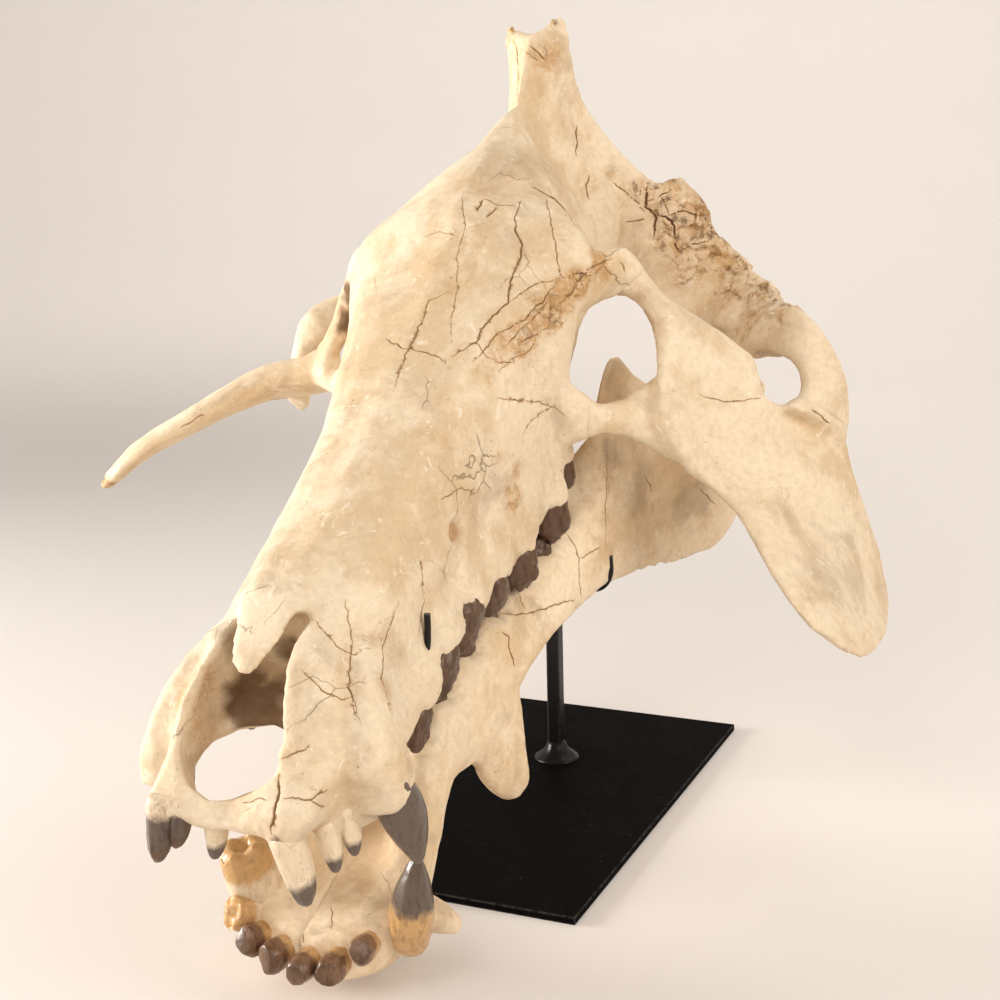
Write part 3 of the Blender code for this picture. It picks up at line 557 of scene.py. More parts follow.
def thin_out(obj, detailed):
    """Fewer triangles where the bone is plain, so that the piece stays within its limit."""
    triangles = sum(len(face.vertices) - 2 for face in obj.data.polygons)
    if triangles <= MOST_TRIANGLES:
        return
    group = obj.vertex_groups.new(name="detail")
    group.add([int(i) for i in np.nonzero(detailed)[0]], 1.0, "REPLACE")
    apply_modifier(obj, "DECIMATE", ratio=MOST_TRIANGLES / triangles, vertex_group="detail",
                   invert_vertex_group=True, vertex_group_factor=10.0)
    obj.vertex_groups.remove(obj.vertex_groups["detail"])


def sculpt_bone(obj, node, rounds, voxel, teeth, sockets):
    """Turn a solid's copy into worn, cracked bone."""
    apply_modifier(obj, "REMESH", mode="VOXEL", voxel_size=voxel * MM)
    skin = Skin(obj)
    tuck_teeth(skin, teeth)
    skin.soften(rounds)
    swell_sockets(skin, sockets, 3.6)
    for centre, into, reach, depth in HOLLOWS:
        away = np.linalg.norm(skin.points - np.array(centre, float), axis=1)
        push = smooth_step(1.3 - away / reach) * depth
        skin.points += push[:, None] * np.array(Vector(into).normalized())
    skin.write()
    rough = skin.near(ROUGH_PATCHES)
    swell = fractal(skin.points, 34.0, 3, 1) * 0.9
    ripple = fractal(skin.points, 9.0, 3, 2)
    skin.points += (swell + ripple * (0.22 + 0.5 * rough))[:, None] * skin.normals
    skin.write()
    refine_near(obj, rough > 0.12, 1)
    skin = Skin(obj)
    break_blocks(skin)
    skin, crack = carve_cracks(obj, BONE_CRACKS.get(node, ()))
    skin.close_seams()
    low, high = (np.array(c) / MM for c in solid_box)
    skin.points = np.clip(skin.points, low, high)
    skin.write()
    _, split = block_pattern(skin)
    skin.keep("crack", split if crack is None else np.maximum(crack, split * 0.7))
    # the ochre places hold stains and painted shade, and the dark places hold dark stains and painted shade
    skin.keep("stain_and_shade", skin.near(OCHRE_STAINS_AND_PAINTED_SHADE))
    skin.keep("dark", skin.near(DARK_STAINS_AND_PAINTED_SHADE))
    skin.keep("rough", skin.near(ROUGH_PATCHES))
    skin.keep("bend", 0.5 + skin.curve(3) * 1.6)
    detail = split if crack is None else np.maximum(crack, split)
    for _ in range(3):
        detail = skin.spread(detail) + detail
    thin_out(obj, detail > 0.001)
    make_active(obj)
    bpy.ops.object.shade_smooth()


# the teeth
TOOTH_RINGS = {
    "premolar": ((0.0, 0.55), (0.16, 0.72), (0.34, 0.98), (0.5, 1.08), (0.66, 1.0), (0.8, 0.84), (0.92, 0.58),
                 (1.0, 0.26)),
    "molar": ((0.0, 0.6), (0.2, 0.78), (0.4, 1.02), (0.58, 1.06), (0.74, 1.0), (0.86, 0.86), (0.96, 0.6),
              (1.0, 0.3)),
    "canine": ((0.0, 0.7), (0.2, 0.84), (0.4, 0.96), (0.6, 0.86), (0.78, 0.6), (0.9, 0.38), (0.97, 0.22),
               (1.0, 0.1)),
    "incisor": ((0.0, 0.95), (0.2, 1.0), (0.42, 0.98), (0.6, 0.9), (0.76, 0.78), (0.88, 0.6), (0.96, 0.38),
                (1.0, 0.16)),
    "knob": ((0.0, 0.9), (0.3, 0.94), (0.52, 0.98), (0.66, 1.0), (0.78, 0.96), (0.88, 0.82), (0.96, 0.55),
             (1.0, 0.22)),
    "stump": ((0.0, 1.15), (0.3, 1.14), (0.6, 1.08), (0.8, 1.03), (0.92, 0.97), (0.97, 0.86), (0.99, 0.6),
              (0.985, 0.25)),
}
TOOTH_LUMPS = {"premolar": 1.5, "molar": 1.3, "canine": 0.4, "incisor": 0.35, "knob": 0.6, "stump": 1.1}
TOOTH_SIDES = 16


def model_tooth(kind):
    """One tooth of a kind, a unit long and wide, drawn up ring by ring."""
    clear_selection()
    rings = TOOTH_RINGS[kind]
    bpy.ops.mesh.primitive_circle_add(vertices=TOOTH_SIDES, radius=rings[0][1], fill_type="NGON")
    obj = bpy.context.object
    obj.name = kind + " pattern"
    enter_edit(obj, "FACE")
    for (low, width), (high, next_width) in zip(rings, rings[1:]):
        bpy.ops.mesh.extrude_region_move(TRANSFORM_OT_translate={"value": (0, 0, high - low)})
        factor = next_width / width
        bpy.ops.transform.resize(value=(factor, factor, 1.0), center_override=(0, 0, high))
    bpy.ops.mesh.select_all(action="SELECT")
    bpy.ops.mesh.normals_make_consistent(inside=False)
    leave_edit()
    apply_modifier(obj, "SUBSURF", levels=2, render_levels=2)
    return obj


def shape_crown(kind, points, seed):
    """Cusps, cutting edges and wear for each kind of tooth, in unit size."""
    x, y, z = points[:, 0].copy(), points[:, 1].copy(), points[:, 2].copy()
    crown = smooth_step((z - 0.3) / 0.3)
    angle = np.arctan2(y, x)
    if kind == "premolar":
        y = y * (1.0 + 0.16 * crown * np.abs(np.sin(angle)) ** 4)
        x = x * (1.0 - 0.12 * crown)
        y = y + 0.10 * crown * np.sin(z * 5.0 + seed)
        x = x + 0.07 * crown * np.sin(z * 7.0 + seed * 2.0)
    elif kind == "molar":
        squared = 1.0 + 0.13 * crown * np.cos(4.0 * (angle + math.pi / 4)) * -1.0
        x, y = x * squared, y * squared
        cusps = np.zeros(len(x))
        for cx, cy in ((0.42, 0.45), (0.42, -0.45), (-0.42, 0.45), (-0.42, -0.45)):
            cusps += np.exp(-((x - cx) ** 2 + (y - cy) ** 2) / 0.07)
        z = z + (cusps * 0.13 - 0.09) * smooth_step((z - 0.7) / 0.25)
    elif kind == "canine":
        groove = np.exp(-((angle - 0.9) / 0.35) ** 2)
        shrink = 1.0 - 0.07 * groove * crown
        x, y = x * shrink, y * shrink
    elif kind == "incisor":
        ridges = 1.0 + 0.045 * np.sin(angle * 7.0 + seed) * smooth_step((z - 0.35) / 0.4)
        x, y = x * ridges, y * ridges
    elif kind == "knob":
        worn = 0.90 + 0.10 * np.cos(angle - seed) * np.hypot(x, y)
        z = np.where(z > worn, worn + (z - worn) * 0.2, z)
        x = x * (1.0 + 0.10 * np.sin(3.0 * angle + seed) * crown)
        y = y * (1.0 + 0.08 * np.cos(2.0 * angle + seed) * crown)
    else:
        ragged = smooth_step((z - 0.9) / 0.06)
        z = z + ragged * 0.07 * np.sin(x * 5.0 + seed) * np.cos(y * 4.0)
    return np.stack([x, y, z], axis=1)


def tooth_axes(root, tip):
    """Along the tooth, along the jaw, and across it."""
    along = (tip - root).normalized()
    jaw = Vector((0, -0.866, -0.5))
    jaw = (jaw - along * jaw.dot(along))
    if jaw.length < 0.3:
        jaw = Vector((1, 0, 0)) - along * along.x
    jaw.normalize()
    across = jaw.cross(along).normalized()
    return across, jaw, along


def set_teeth(name, teeth, patterns, finish, bow=0.0):
    """Copies of the pattern teeth set in the jaw, as one piece."""
    copies = []
    for number, (kind, root, tip, radius, flat) in enumerate(teeth):
        mesh = patterns[kind].data.copy()
        obj = bpy.data.objects.new("%s %d" % (name, number), mesh)
        bpy.context.scene.collection.objects.link(obj)
        flat_points = np.empty(len(mesh.vertices) * 3, np.float32)
        mesh.vertices.foreach_get("co", flat_points)
        unit = shape_crown(kind, flat_points.reshape(-1, 3).astype(float), number * 1.7 + len(name))
        root = Vector(root)
        tip = Vector(tip)
        across, jaw, along = tooth_axes(root, tip)
        length = (tip - root).length
        spots = (np.outer(unit[:, 0] * radius * flat, across) + np.outer(unit[:, 1] * radius, jaw)
                 + np.outer(unit[:, 2] * length, along) + np.array(root))
        if bow:
            arch = 4.0 * unit[:, 2] * (1.0 - unit[:, 2]) * bow
            spots += np.outer(arch, -jaw)
        away = (unit * np.array([1.0, 1.0, 0.0]))
        away /= np.maximum(np.linalg.norm(away, axis=1), 1e-6)[:, None]
        outward = np.outer(away[:, 0], across) + np.outer(away[:, 1], jaw)
        spots += outward * (fractal(spots, 5.0, 3, number + 4) * TOOTH_LUMPS[kind])[:, None]
        mesh.vertices.foreach_set("co", (spots * MM).astype(np.float32).ravel())
        attribute = mesh.attributes.new("crown", "FLOAT", "POINT")
        attribute.data.foreach_set("value", unit[:, 2].astype(np.float32))
        mesh.update()
        copies.append(obj)
    clear_selection()
    for obj in copies:
        obj.select_set(True)
    bpy.context.view_layer.objects.active = copies[0]
    if len(copies) > 1:
        bpy.ops.object.join()
    obj = bpy.context.view_layer.objects.active
    obj.name = name
    enter_edit(obj)
    bpy.ops.mesh.normals_make_consistent(inside=False)
    leave_edit()
    bpy.ops.object.shade_smooth()
    dress(obj, finish)
    return obj


def mirrored(teeth):
    return tuple((kind, (-root[0],) + root[1:], (-tip[0],) + tip[1:], radius, flat)
                 for kind, root, tip, radius, flat in teeth)


def mirrored_path(path):
    return tuple((-x, y, z) for x, y, z in path)


# materials
def place_node(tree, kind, links, **values):
    """Add a shader node, set its values and link or set its inputs."""
    made = tree.nodes.new(kind)
    for key, value in values.items():
        setattr(made, key, value)
    for socket, source in links.items():
        if isinstance(source, bpy.types.NodeSocket):
            tree.links.new(source, made.inputs[socket])
        else:
            made.inputs[socket].default_value = source
    return made


def ramp(tree, value, low, high, to_low=0.0, to_high=1.0):
    """A smooth step of a value from one bound to another."""
    made = place_node(tree, "ShaderNodeMapRange", {"Value": value}, interpolation_type="SMOOTHSTEP")
    made.inputs["From Min"].default_value = low
    made.inputs["From Max"].default_value = high
    made.inputs["To Min"].default_value = to_low
    made.inputs["To Max"].default_value = to_high
    return made.outputs["Result"]


def calc(tree, operation, first, second=0.0, clamp=False):
    made = place_node(tree, "ShaderNodeMath", {0: first, 1: second}, operation=operation, use_clamp=clamp)
    return made.outputs[0]


def blend_colour(tree, factor, first, second, kind="MIX"):
    made = place_node(tree, "ShaderNodeMix", {}, data_type="RGBA", blend_type=kind, clamp_factor=True)
    for index, source in ((0, factor), (6, first), (7, second)):
        if isinstance(source, bpy.types.NodeSocket):
            tree.links.new(source, made.inputs[index])
        else:
            made.inputs[index].default_value = source
    return made.outputs[2]


def cloud(tree, place, scale, detail=4.0, roughness=0.55, distortion=0.0):
    made = place_node(tree, "ShaderNodeTexNoise", {
        "Vector": place, "Scale": scale, "Detail": detail, "Roughness": roughness, "Distortion": distortion,
    })
    return made.outputs["Fac"]


def new_group(name, inputs, outputs):
    """A shader node group with named sockets, and its two end nodes."""
    tree = bpy.data.node_groups.new(name, "ShaderNodeTree")
    for label, kind in inputs:
        tree.interface.new_socket(label, in_out="INPUT", socket_type=kind)
    for label, kind in outputs:
        tree.interface.new_socket(label, in_out="OUTPUT", socket_type=kind)
    return tree, tree.nodes.new("NodeGroupInput"), tree.nodes.new("NodeGroupOutput")


def make_bone_group():
    """Mottled bone with stains, dirt in the cracks and hollows, pits and hairlines, and painted shade in the hollows
    and at some of the listed dark places.
    """
    colour, number = "NodeSocketColor", "NodeSocketFloat"
    tree, given, result = new_group("Fossil bone surface", (
        ("Place", "NodeSocketVector"), ("Pale", colour), ("Tan", colour), ("Ochre", colour), ("Brown", colour),
        ("Grey", colour),
        ("Crack", number), ("Stain_and_shade", number), ("Dark", number), ("Rough", number), ("Bend", number),
        ("Hairlines", number),
    ), (("Colour", colour), ("Roughness", number), ("Height", number)))
    put = given.outputs
    place = put["Place"]
    broad = cloud(tree, place, 9.0, 3.0, 0.6, 0.5)
    middle = cloud(tree, place, 34.0, 5.0, 0.62, 0.3)
    fine = cloud(tree, place, 190.0, 4.0, 0.6)
    grain = cloud(tree, place, 900.0, 3.0, 0.6)
    mixed = calc(tree, "ADD", calc(tree, "MULTIPLY", broad, 0.6), calc(tree, "MULTIPLY", middle, 0.4))
    shade = blend_colour(tree, ramp(tree, mixed, 0.43, 0.60), put["Pale"], put["Tan"])
    smudge = ramp(tree, cloud(tree, place, 13.5, 5.0, 0.65, 0.8), 0.50, 0.70, 0.0, 0.62)
    shade = blend_colour(tree, smudge, shade, put["Grey"])
    scuff = ramp(tree, cloud(tree, place, 60.0, 6.0, 0.72, 1.5), 0.58, 0.68, 0.0, 0.7)
    shade = blend_colour(tree, scuff, shade, (0.90, 0.80, 0.65, 1.0))
    patch = cloud(tree, place, 17.0, 6.0, 0.7, 1.2)
    weak = calc(tree, "MULTIPLY", ramp(tree, patch, 0.55, 0.74), 0.5)
    torn = ramp(tree, calc(tree, "ADD", cloud(tree, place, 110.0, 7.0, 0.75, 0.8),
                           calc(tree, "MULTIPLY", put["Stain_and_shade"], 0.2)), 0.565, 0.74)
    strong = calc(tree, "MULTIPLY", torn, put["Stain_and_shade"])
    ochre = calc(tree, "MAXIMUM", weak, calc(tree, "MULTIPLY", strong, 0.9))
    soft = calc(tree, "MULTIPLY", put["Stain_and_shade"], 0.34)
    ochre = calc(tree, "MAXIMUM", ochre, soft, True)
    shade = blend_colour(tree, ochre, shade, put["Ochre"])
    specks = ramp(tree, cloud(tree, place, 330.0, 3.0, 0.5), 0.66, 0.74)
    specks = calc(tree, "MULTIPLY", specks, ramp(tree, patch, 0.42, 0.66, 0.1, 0.75))
    bent = place_node(tree, "ShaderNodeTexNoise", {"Vector": place, "Scale": 22.0, "Detail": 4.0})
    wander = place_node(tree, "ShaderNodeVectorMath", {0: bent.outputs["Color"], 1: (0.05, 0.05, 0.05)},
                        operation="MULTIPLY")
    moved = place_node(tree, "ShaderNodeVectorMath", {0: place, 1: wander.outputs[0]}, operation="ADD")
    cells = place_node(tree, "ShaderNodeTexVoronoi", {"Vector": moved.outputs[0], "Scale": 19.0},
                       feature="DISTANCE_TO_EDGE")
    hairline = ramp(tree, cells.outputs["Distance"], 0.0, 0.010, 1.0, 0.0)
    where = ramp(tree, cloud(tree, place, 13.0, 3.0, 0.6), 0.55, 0.66)
    hairline = calc(tree, "MULTIPLY", calc(tree, "MULTIPLY", hairline, where), put["Hairlines"])
    # ochre in the hollows of the bone: partly stain, partly painted shade in the recesses
    hollow_stain_and_shade = ramp(tree, put["Bend"], 0.56, 0.86)
    ridge = ramp(tree, put["Bend"], 0.44, 0.16)
    shade = blend_colour(tree, calc(tree, "MULTIPLY", hollow_stain_and_shade, 0.55), shade, put["Ochre"])
    shade = blend_colour(tree, calc(tree, "MULTIPLY", ridge, 0.5), shade, put["Pale"])
    dirt_and_shade = calc(tree, "MAXIMUM", calc(tree, "MULTIPLY", specks, 0.55), calc(tree, "MULTIPLY", hairline, 0.6))
    shade = blend_colour(tree, ramp(tree, put["Crack"], 0.0, 0.7, 0.0, 0.75), shade, put["Ochre"])
    dirt_and_shade = calc(tree, "MAXIMUM", dirt_and_shade, ramp(tree, put["Crack"], 0.35, 1.0, 0.0, 0.8), True)
    # painted shade: the Dark places hold painted shade as well as dark stains, and turn brown together with the dirt
    dirt_and_shade = calc(tree, "MAXIMUM", dirt_and_shade, calc(tree, "MULTIPLY", put["Dark"], 0.93), True)
    broken = calc(tree, "MULTIPLY", ramp(tree, cloud(tree, place, 120.0, 5.0, 0.7), 0.55, 0.66), put["Rough"])
    rusty = calc(tree, "MULTIPLY", ramp(tree, cloud(tree, place, 46.0, 6.0, 0.7, 0.7), 0.46, 0.62), put["Rough"])
    shade = blend_colour(tree, calc(tree, "MULTIPLY", rusty, 0.85), shade, put["Ochre"])
    dirt_and_shade = calc(tree, "MAXIMUM", dirt_and_shade, calc(tree, "MULTIPLY", broken, 0.7), True)
    shade = blend_colour(tree, dirt_and_shade, shade, put["Brown"])
    tint = blend_colour(tree, ramp(tree, fine, 0.35, 0.7, 0.0, 0.16), shade, (0.35, 0.24, 0.14, 1.0))
    rough = calc(tree, "ADD", 0.52, calc(tree, "MULTIPLY", middle, 0.26), True)
    rough = calc(tree, "ADD", rough, calc(tree, "MULTIPLY", dirt_and_shade, 0.2), True)
    height = calc(tree, "ADD", calc(tree, "MULTIPLY", fine, 0.55), calc(tree, "MULTIPLY", grain, 0.2))
    height = calc(tree, "SUBTRACT", height, calc(tree, "MULTIPLY", specks, 0.8))
    height = calc(tree, "SUBTRACT", height, calc(tree, "MULTIPLY", hairline, 0.9))
    height = calc(tree, "SUBTRACT", height, calc(tree, "MULTIPLY", broken, 1.0))
    height = calc(tree, "ADD", height, calc(tree, "MULTIPLY", middle, 0.8))
    for label, source in (("Colour", tint), ("Roughness", rough), ("Height", height)):
        tree.links.new(source, result.inputs[label])
    return tree


def start_material(name):
    made = bpy.data.materials.new(name)
    made.use_nodes = True
    tree = made.node_tree
    shader = tree.nodes["Principled BSDF"]
    where = tree.nodes.new("ShaderNodeTexCoord")
    return made, tree, shader, where.outputs["Object"]


def read_attribute(tree, name):
    made = tree.nodes.new("ShaderNodeAttribute")
    made.attribute_name = name
    return made.outputs["Fac"]


def add_bump(tree, shader, height, strength, distance):
    bump = place_node(tree, "ShaderNodeBump", {"Height": height, "Strength": strength, "Distance": distance})
    tree.links.new(bump.outputs["Normal"], shader.inputs["Normal"])


def make_bone(name, group, pale, tan, ochre, brown, grey, hairlines):
    made, tree, shader, place = start_material(name)
    links = {"Place": place, "Pale": pale, "Tan": tan, "Ochre": ochre, "Brown": brown, "Grey": grey,
             "Hairlines": hairlines}
    for label in ("Crack", "Stain_and_shade", "Dark", "Rough", "Bend"):
        links[label] = read_attribute(tree, label.lower())
    surface = tree.nodes.new("ShaderNodeGroup")
    surface.node_tree = group
    for label, source in links.items():
        if isinstance(source, bpy.types.NodeSocket):
            tree.links.new(source, surface.inputs[label])
        else:
            surface.inputs[label].default_value = source
    tree.links.new(surface.outputs["Colour"], shader.inputs["Base Color"])
    tree.links.new(surface.outputs["Roughness"], shader.inputs["Roughness"])
    shader.inputs["Specular IOR Level"].default_value = 0.35
    add_bump(tree, shader, surface.outputs["Height"], 0.7, 0.0016)
    return made


def make_enamel_group():
    """Streaked tooth enamel whose colour changes from the neck to the tip."""
    colour, number = "NodeSocketColor", "NodeSocketFloat"
    tree, given, result = new_group("Tooth surface", (
        ("Place", "NodeSocketVector"), ("Crown", number), ("Neck", colour), ("Body", colour), ("Tip", colour),
        ("Neck End", number), ("Tip Start", number), ("Streak", number),
    ), (("Colour", colour), ("Roughness", number), ("Height", number)))
    put = given.outputs
    long_grain = place_node(tree, "ShaderNodeMapping", {"Vector": put["Place"], "Scale": (1.0, 1.0, 0.3)})
    streak = cloud(tree, long_grain.outputs["Vector"], 260.0, 5.0, 0.6, 0.4)
    blotch = cloud(tree, put["Place"], 90.0, 4.0, 0.6, 0.8)
    level = calc(tree, "ADD", put["Crown"], calc(tree, "MULTIPLY", calc(tree, "SUBTRACT", blotch, 0.5), 0.22))
    neck = place_node(tree, "ShaderNodeMapRange", {"Value": calc(tree, "SUBTRACT", level, put["Neck End"]),
                                                   "From Min": -0.05, "From Max": 0.06})
    tip = place_node(tree, "ShaderNodeMapRange", {"Value": calc(tree, "SUBTRACT", level, put["Tip Start"]),
                                                  "From Min": -0.05, "From Max": 0.07})
    shade = blend_colour(tree, neck.outputs[0], put["Neck"], put["Body"])
    shade = blend_colour(tree, tip.outputs[0], shade, put["Tip"])
    darker = blend_colour(tree, 1.0, shade, (0.50, 0.42, 0.37, 1.0), "MULTIPLY")
    shade = blend_colour(tree, calc(tree, "MULTIPLY", ramp(tree, streak, 0.44, 0.70), put["Streak"]), shade, darker)
    lines = ramp(tree, cloud(tree, long_grain.outputs["Vector"], 120.0, 2.0, 0.5, 2.0), 0.49, 0.505)
    lines = calc(tree, "MULTIPLY", lines, ramp(tree, cloud(tree, long_grain.outputs["Vector"], 120.0, 2.0, 0.5, 2.0),
                                               0.52, 0.505))
    shade = blend_colour(tree, calc(tree, "MULTIPLY", lines, 0.3), shade, (0.03, 0.02, 0.013, 1.0))
    rough = calc(tree, "ADD", 0.2, calc(tree, "MULTIPLY", streak, 0.22))
    height = calc(tree, "ADD", streak, calc(tree, "MULTIPLY", lines, -0.6))
    for label, source in (("Colour", shade), ("Roughness", rough), ("Height", height)):
        tree.links.new(source, result.inputs[label])
    return tree


def make_enamel(name, group, neck, body, tip, neck_end, tip_start, coat, streak=0.7):
    made, tree, shader, place = start_material(name)
    surface = tree.nodes.new("ShaderNodeGroup")
    surface.node_tree = group
    tree.links.new(place, surface.inputs["Place"])
    tree.links.new(read_attribute(tree, "crown"), surface.inputs["Crown"])
    for label, value in (("Neck", neck), ("Body", body), ("Tip", tip), ("Neck End", neck_end),
                         ("Tip Start", tip_start), ("Streak", streak)):
        surface.inputs[label].default_value = value
    tree.links.new(surface.outputs["Colour"], shader.inputs["Base Color"])
    tree.links.new(surface.outputs["Roughness"], shader.inputs["Roughness"])
    shader.inputs["Coat Weight"].default_value = coat
    shader.inputs["Specular IOR Level"].default_value = 0.3
    shader.inputs["Coat Roughness"].default_value = 0.15
    add_bump(tree, shader, surface.outputs["Height"], 0.4, 0.0009)
    return made


def make_black_steel(name, base, roughness, shine):
    """Satin black paint with a faint orange peel, dust specks, and rubbed edges whose lighter grey is partly a painted
    highlight.
    """
    made, tree, shader, place = start_material(name)
    dust = ramp(tree, cloud(tree, place, 700.0, 2.0, 0.5), 0.70, 0.76)
    dust = calc(tree, "MULTIPLY", dust, ramp(tree, cloud(tree, place, 20.0, 3.0), 0.42, 0.6))
    haze = ramp(tree, cloud(tree, place, 30.0, 6.0, 0.7, 0.4), 0.4, 0.75, 0.0, 0.35)
    shade = blend_colour(tree, haze, base, (0.007, 0.0065, 0.006, 1.0))
    shade = blend_colour(tree, calc(tree, "MULTIPLY", dust, 0.5), shade, (0.25, 0.22, 0.19, 1.0))
    # rubbed edges: a lighter grey along the sharp edges, partly wear and partly a painted highlight
    worn = calc(tree, "MULTIPLY", read_attribute(tree, "edge"), ramp(tree, cloud(tree, place, 160.0), 0.3, 0.6))
    shade = blend_colour(tree, worn, shade, (0.045, 0.041, 0.037, 1.0))
    tree.links.new(shade, shader.inputs["Base Color"])
    gloss = calc(tree, "ADD", roughness, calc(tree, "MULTIPLY", haze, 0.4), True)
    tree.links.new(gloss, shader.inputs["Roughness"])
    shader.inputs["Specular IOR Level"].default_value = shine
    add_bump(tree, shader, cloud(tree, place, 420.0, 3.0), 0.12, 0.0004)
    return made


# the middle of the painted shade on the paper, in metres
SHADED_PAPER = (-1.4, 1.0, 0.0)


def make_studio(name, colour):
    made, tree, shader, place = start_material(name)
    tone = ramp(tree, cloud(tree, place, 0.8, 3.0), 0.3, 0.7, 0.0, 0.25)
    shade = blend_colour(tree, tone, colour, tuple(c * 0.97 for c in colour[:3]) + (1.0,))
    # painted shade: the paper's colour darkens towards SHADED_PAPER, giving the darker band at the left of the floor
    # and backdrop
    far = place_node(tree, "ShaderNodeVectorMath", {0: place, 1: SHADED_PAPER}, operation="DISTANCE")
    shaded = ramp(tree, far.outputs["Value"], 0.0, 1.75, 0.42, 0.0)
    shade = blend_colour(tree, shaded, shade, (0.10, 0.085, 0.07, 1.0))
    tree.links.new(shade, shader.inputs["Base Color"])
    shader.inputs["Roughness"].default_value = 0.85
    shader.inputs["Specular IOR Level"].default_value = 0.1
    return made


# the stand
def mark_edges(obj, angle):
    """Remember where the edges are sharp, so that the paint can be rubbed there and a painted highlight laid along
    them.
    """
    mesh = obj.data
    sharp = np.zeros(len(mesh.vertices), np.float32)
    bm = bmesh.new()
    bm.from_mesh(mesh)
    for edge in bm.edges:
        if len(edge.link_faces) == 2 and edge.calc_face_angle(0.0) > angle:
            for vert in edge.verts:
                sharp[vert.index] = 1.0
    bm.free()
    mesh.attributes.new("edge", "FLOAT", "POINT").data.foreach_set("value", sharp)


def select_faces(obj, test):
    """In edit mode, select only the faces that a test names."""
    bpy.ops.mesh.select_all(action="DESELECT")
    bm = bmesh.from_edit_mesh(obj.data)
    for face in bm.faces:
        face.select_set(test(face))
    bmesh.update_edit_mesh(obj.data)


def model_bar(name, low, high, bevel, segments=3):
    """A bar or plate with softened edges."""
    clear_selection()
    low, high = Vector(low) * MM, Vector(high) * MM
    bpy.ops.mesh.primitive_cube_add(size=1.0, location=(0, 0, 0))
    obj = bpy.context.object
    obj.name = name
    enter_edit(obj)
    bpy.ops.transform.resize(value=tuple(high - low), center_override=(0, 0, 0))
    bpy.ops.transform.translate(value=tuple((low + high) / 2))
    bpy.ops.mesh.select_all(action="SELECT")
    bpy.ops.mesh.bevel(offset=bevel * MM, segments=segments, affect="EDGES")
    bpy.ops.mesh.select_mode(type="FACE")
    select_faces(obj, lambda face: min(edge.calc_length() for edge in face.edges) > 3.0 * bevel * MM)
    bpy.ops.mesh.inset(thickness=0.9 * MM)
    leave_edit()
    return obj


def model_plate(finish):
    obj = model_bar("base_plate", (-PLATE_X, PLATE_FRONT, 0), (PLATE_X, PLATE_BACK, PLATE_THICK), 0.7, 2)
    mark_edges(obj, 0.3)
    make_active(obj)
    bpy.ops.object.shade_smooth_by_angle(angle=0.6)
    dress(obj, finish)
    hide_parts("stand_base")


def model_post(finish):
    half = POST_SIDE / 2
    obj = model_bar("post", (-half, -half, PLATE_THICK + 0.3), (half, half, POST_TOP), 1.1)
    mark_edges(obj, 0.2)
    make_active(obj)
    bpy.ops.object.shade_smooth_by_angle(angle=0.6)
    weld = model_weld()
    clear_selection()
    weld.select_set(True)
    obj.select_set(True)
    bpy.context.view_layer.objects.active = obj
    bpy.ops.object.join()
    dress(obj, finish)
    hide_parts("stand_post")


WELD_RINGS = ((21.5, 0.3), (20.5, 1.6), (17.2, 3.6), (13.6, 6.4), (11.0, 9.8), (9.2, 13.4), (7.6, 16.5))


def model_weld():
    """The bead round the foot of the post, drawn up ring by ring and made uneven."""
    clear_selection()
    bottom = PLATE_THICK + 0.3
    first_radius, first_height = WELD_RINGS[0]
    bpy.ops.mesh.primitive_circle_add(vertices=40, radius=first_radius * MM, fill_type="NGON",
                                      location=(0, 0, 0))
    obj = bpy.context.object
    obj.name = "weld"
    enter_edit(obj, "FACE")
    bpy.ops.transform.translate(value=(0, 0, bottom * MM))
    height, radius = 0.0, first_radius
    for next_radius, next_height in WELD_RINGS:
        bpy.ops.mesh.extrude_region_move(TRANSFORM_OT_translate={"value": (0, 0, (next_height - height) * MM)})
        bpy.ops.transform.resize(value=(next_radius / radius, next_radius / radius, 1.0),
                                 center_override=(0, 0, 0))
        height, radius = next_height, next_radius
    bpy.ops.mesh.select_all(action="SELECT")
    bpy.ops.mesh.normals_make_consistent(inside=False)
    leave_edit()
    skin = Skin(obj)
    flat = np.hypot(skin.points[:, 0], skin.points[:, 1])
    angle = np.arctan2(skin.points[:, 1], skin.points[:, 0])
    lumps = np.array([noise.noise(Vector((math.cos(a) * 3, math.sin(a) * 3, z * 0.4)))
                      for a, z in zip(angle, skin.points[:, 2])])
    inner = smooth_step((flat - 6.0) / 4.0) * (skin.points[:, 2] > bottom + 1.0)
    factor = 1.0 + lumps * 0.14 * inner - 0.03 * inner
    skin.points[:, 0] *= factor
    skin.points[:, 1] *= factor
    skin.write()
    obj.data.attributes.new("edge", "FLOAT", "POINT")
    make_active(obj)
    bpy.ops.object.shade_smooth()
    return obj


def model_rod(name, path):
    """A round rod bent smoothly along a path, with softened ends."""
    clear_selection()
    bpy.ops.curve.primitive_bezier_curve_add(location=(0, 0, 0))
    obj = bpy.context.object
    obj.name = name
    curve = obj.data
    curve.splines.clear()
    spline = curve.splines.new("BEZIER")
    spline.bezier_points.add(len(path) - 1)
    for bead, spot in zip(spline.bezier_points, path):
        bead.co = Vector(spot) * MM
        bead.handle_left_type = "AUTO"
        bead.handle_right_type = "AUTO"
    curve.dimensions = "3D"
    curve.resolution_u = 8
    curve.bevel_depth = ROD_RADIUS * MM
    curve.bevel_resolution = 5
    curve.use_fill_caps = True
    make_active(obj)
    bpy.ops.object.convert(target="MESH")
    enter_edit(obj)
    bpy.ops.mesh.remove_doubles(threshold=0.00001)
    bpy.ops.mesh.normals_make_consistent(inside=False)
    leave_edit()
    return obj


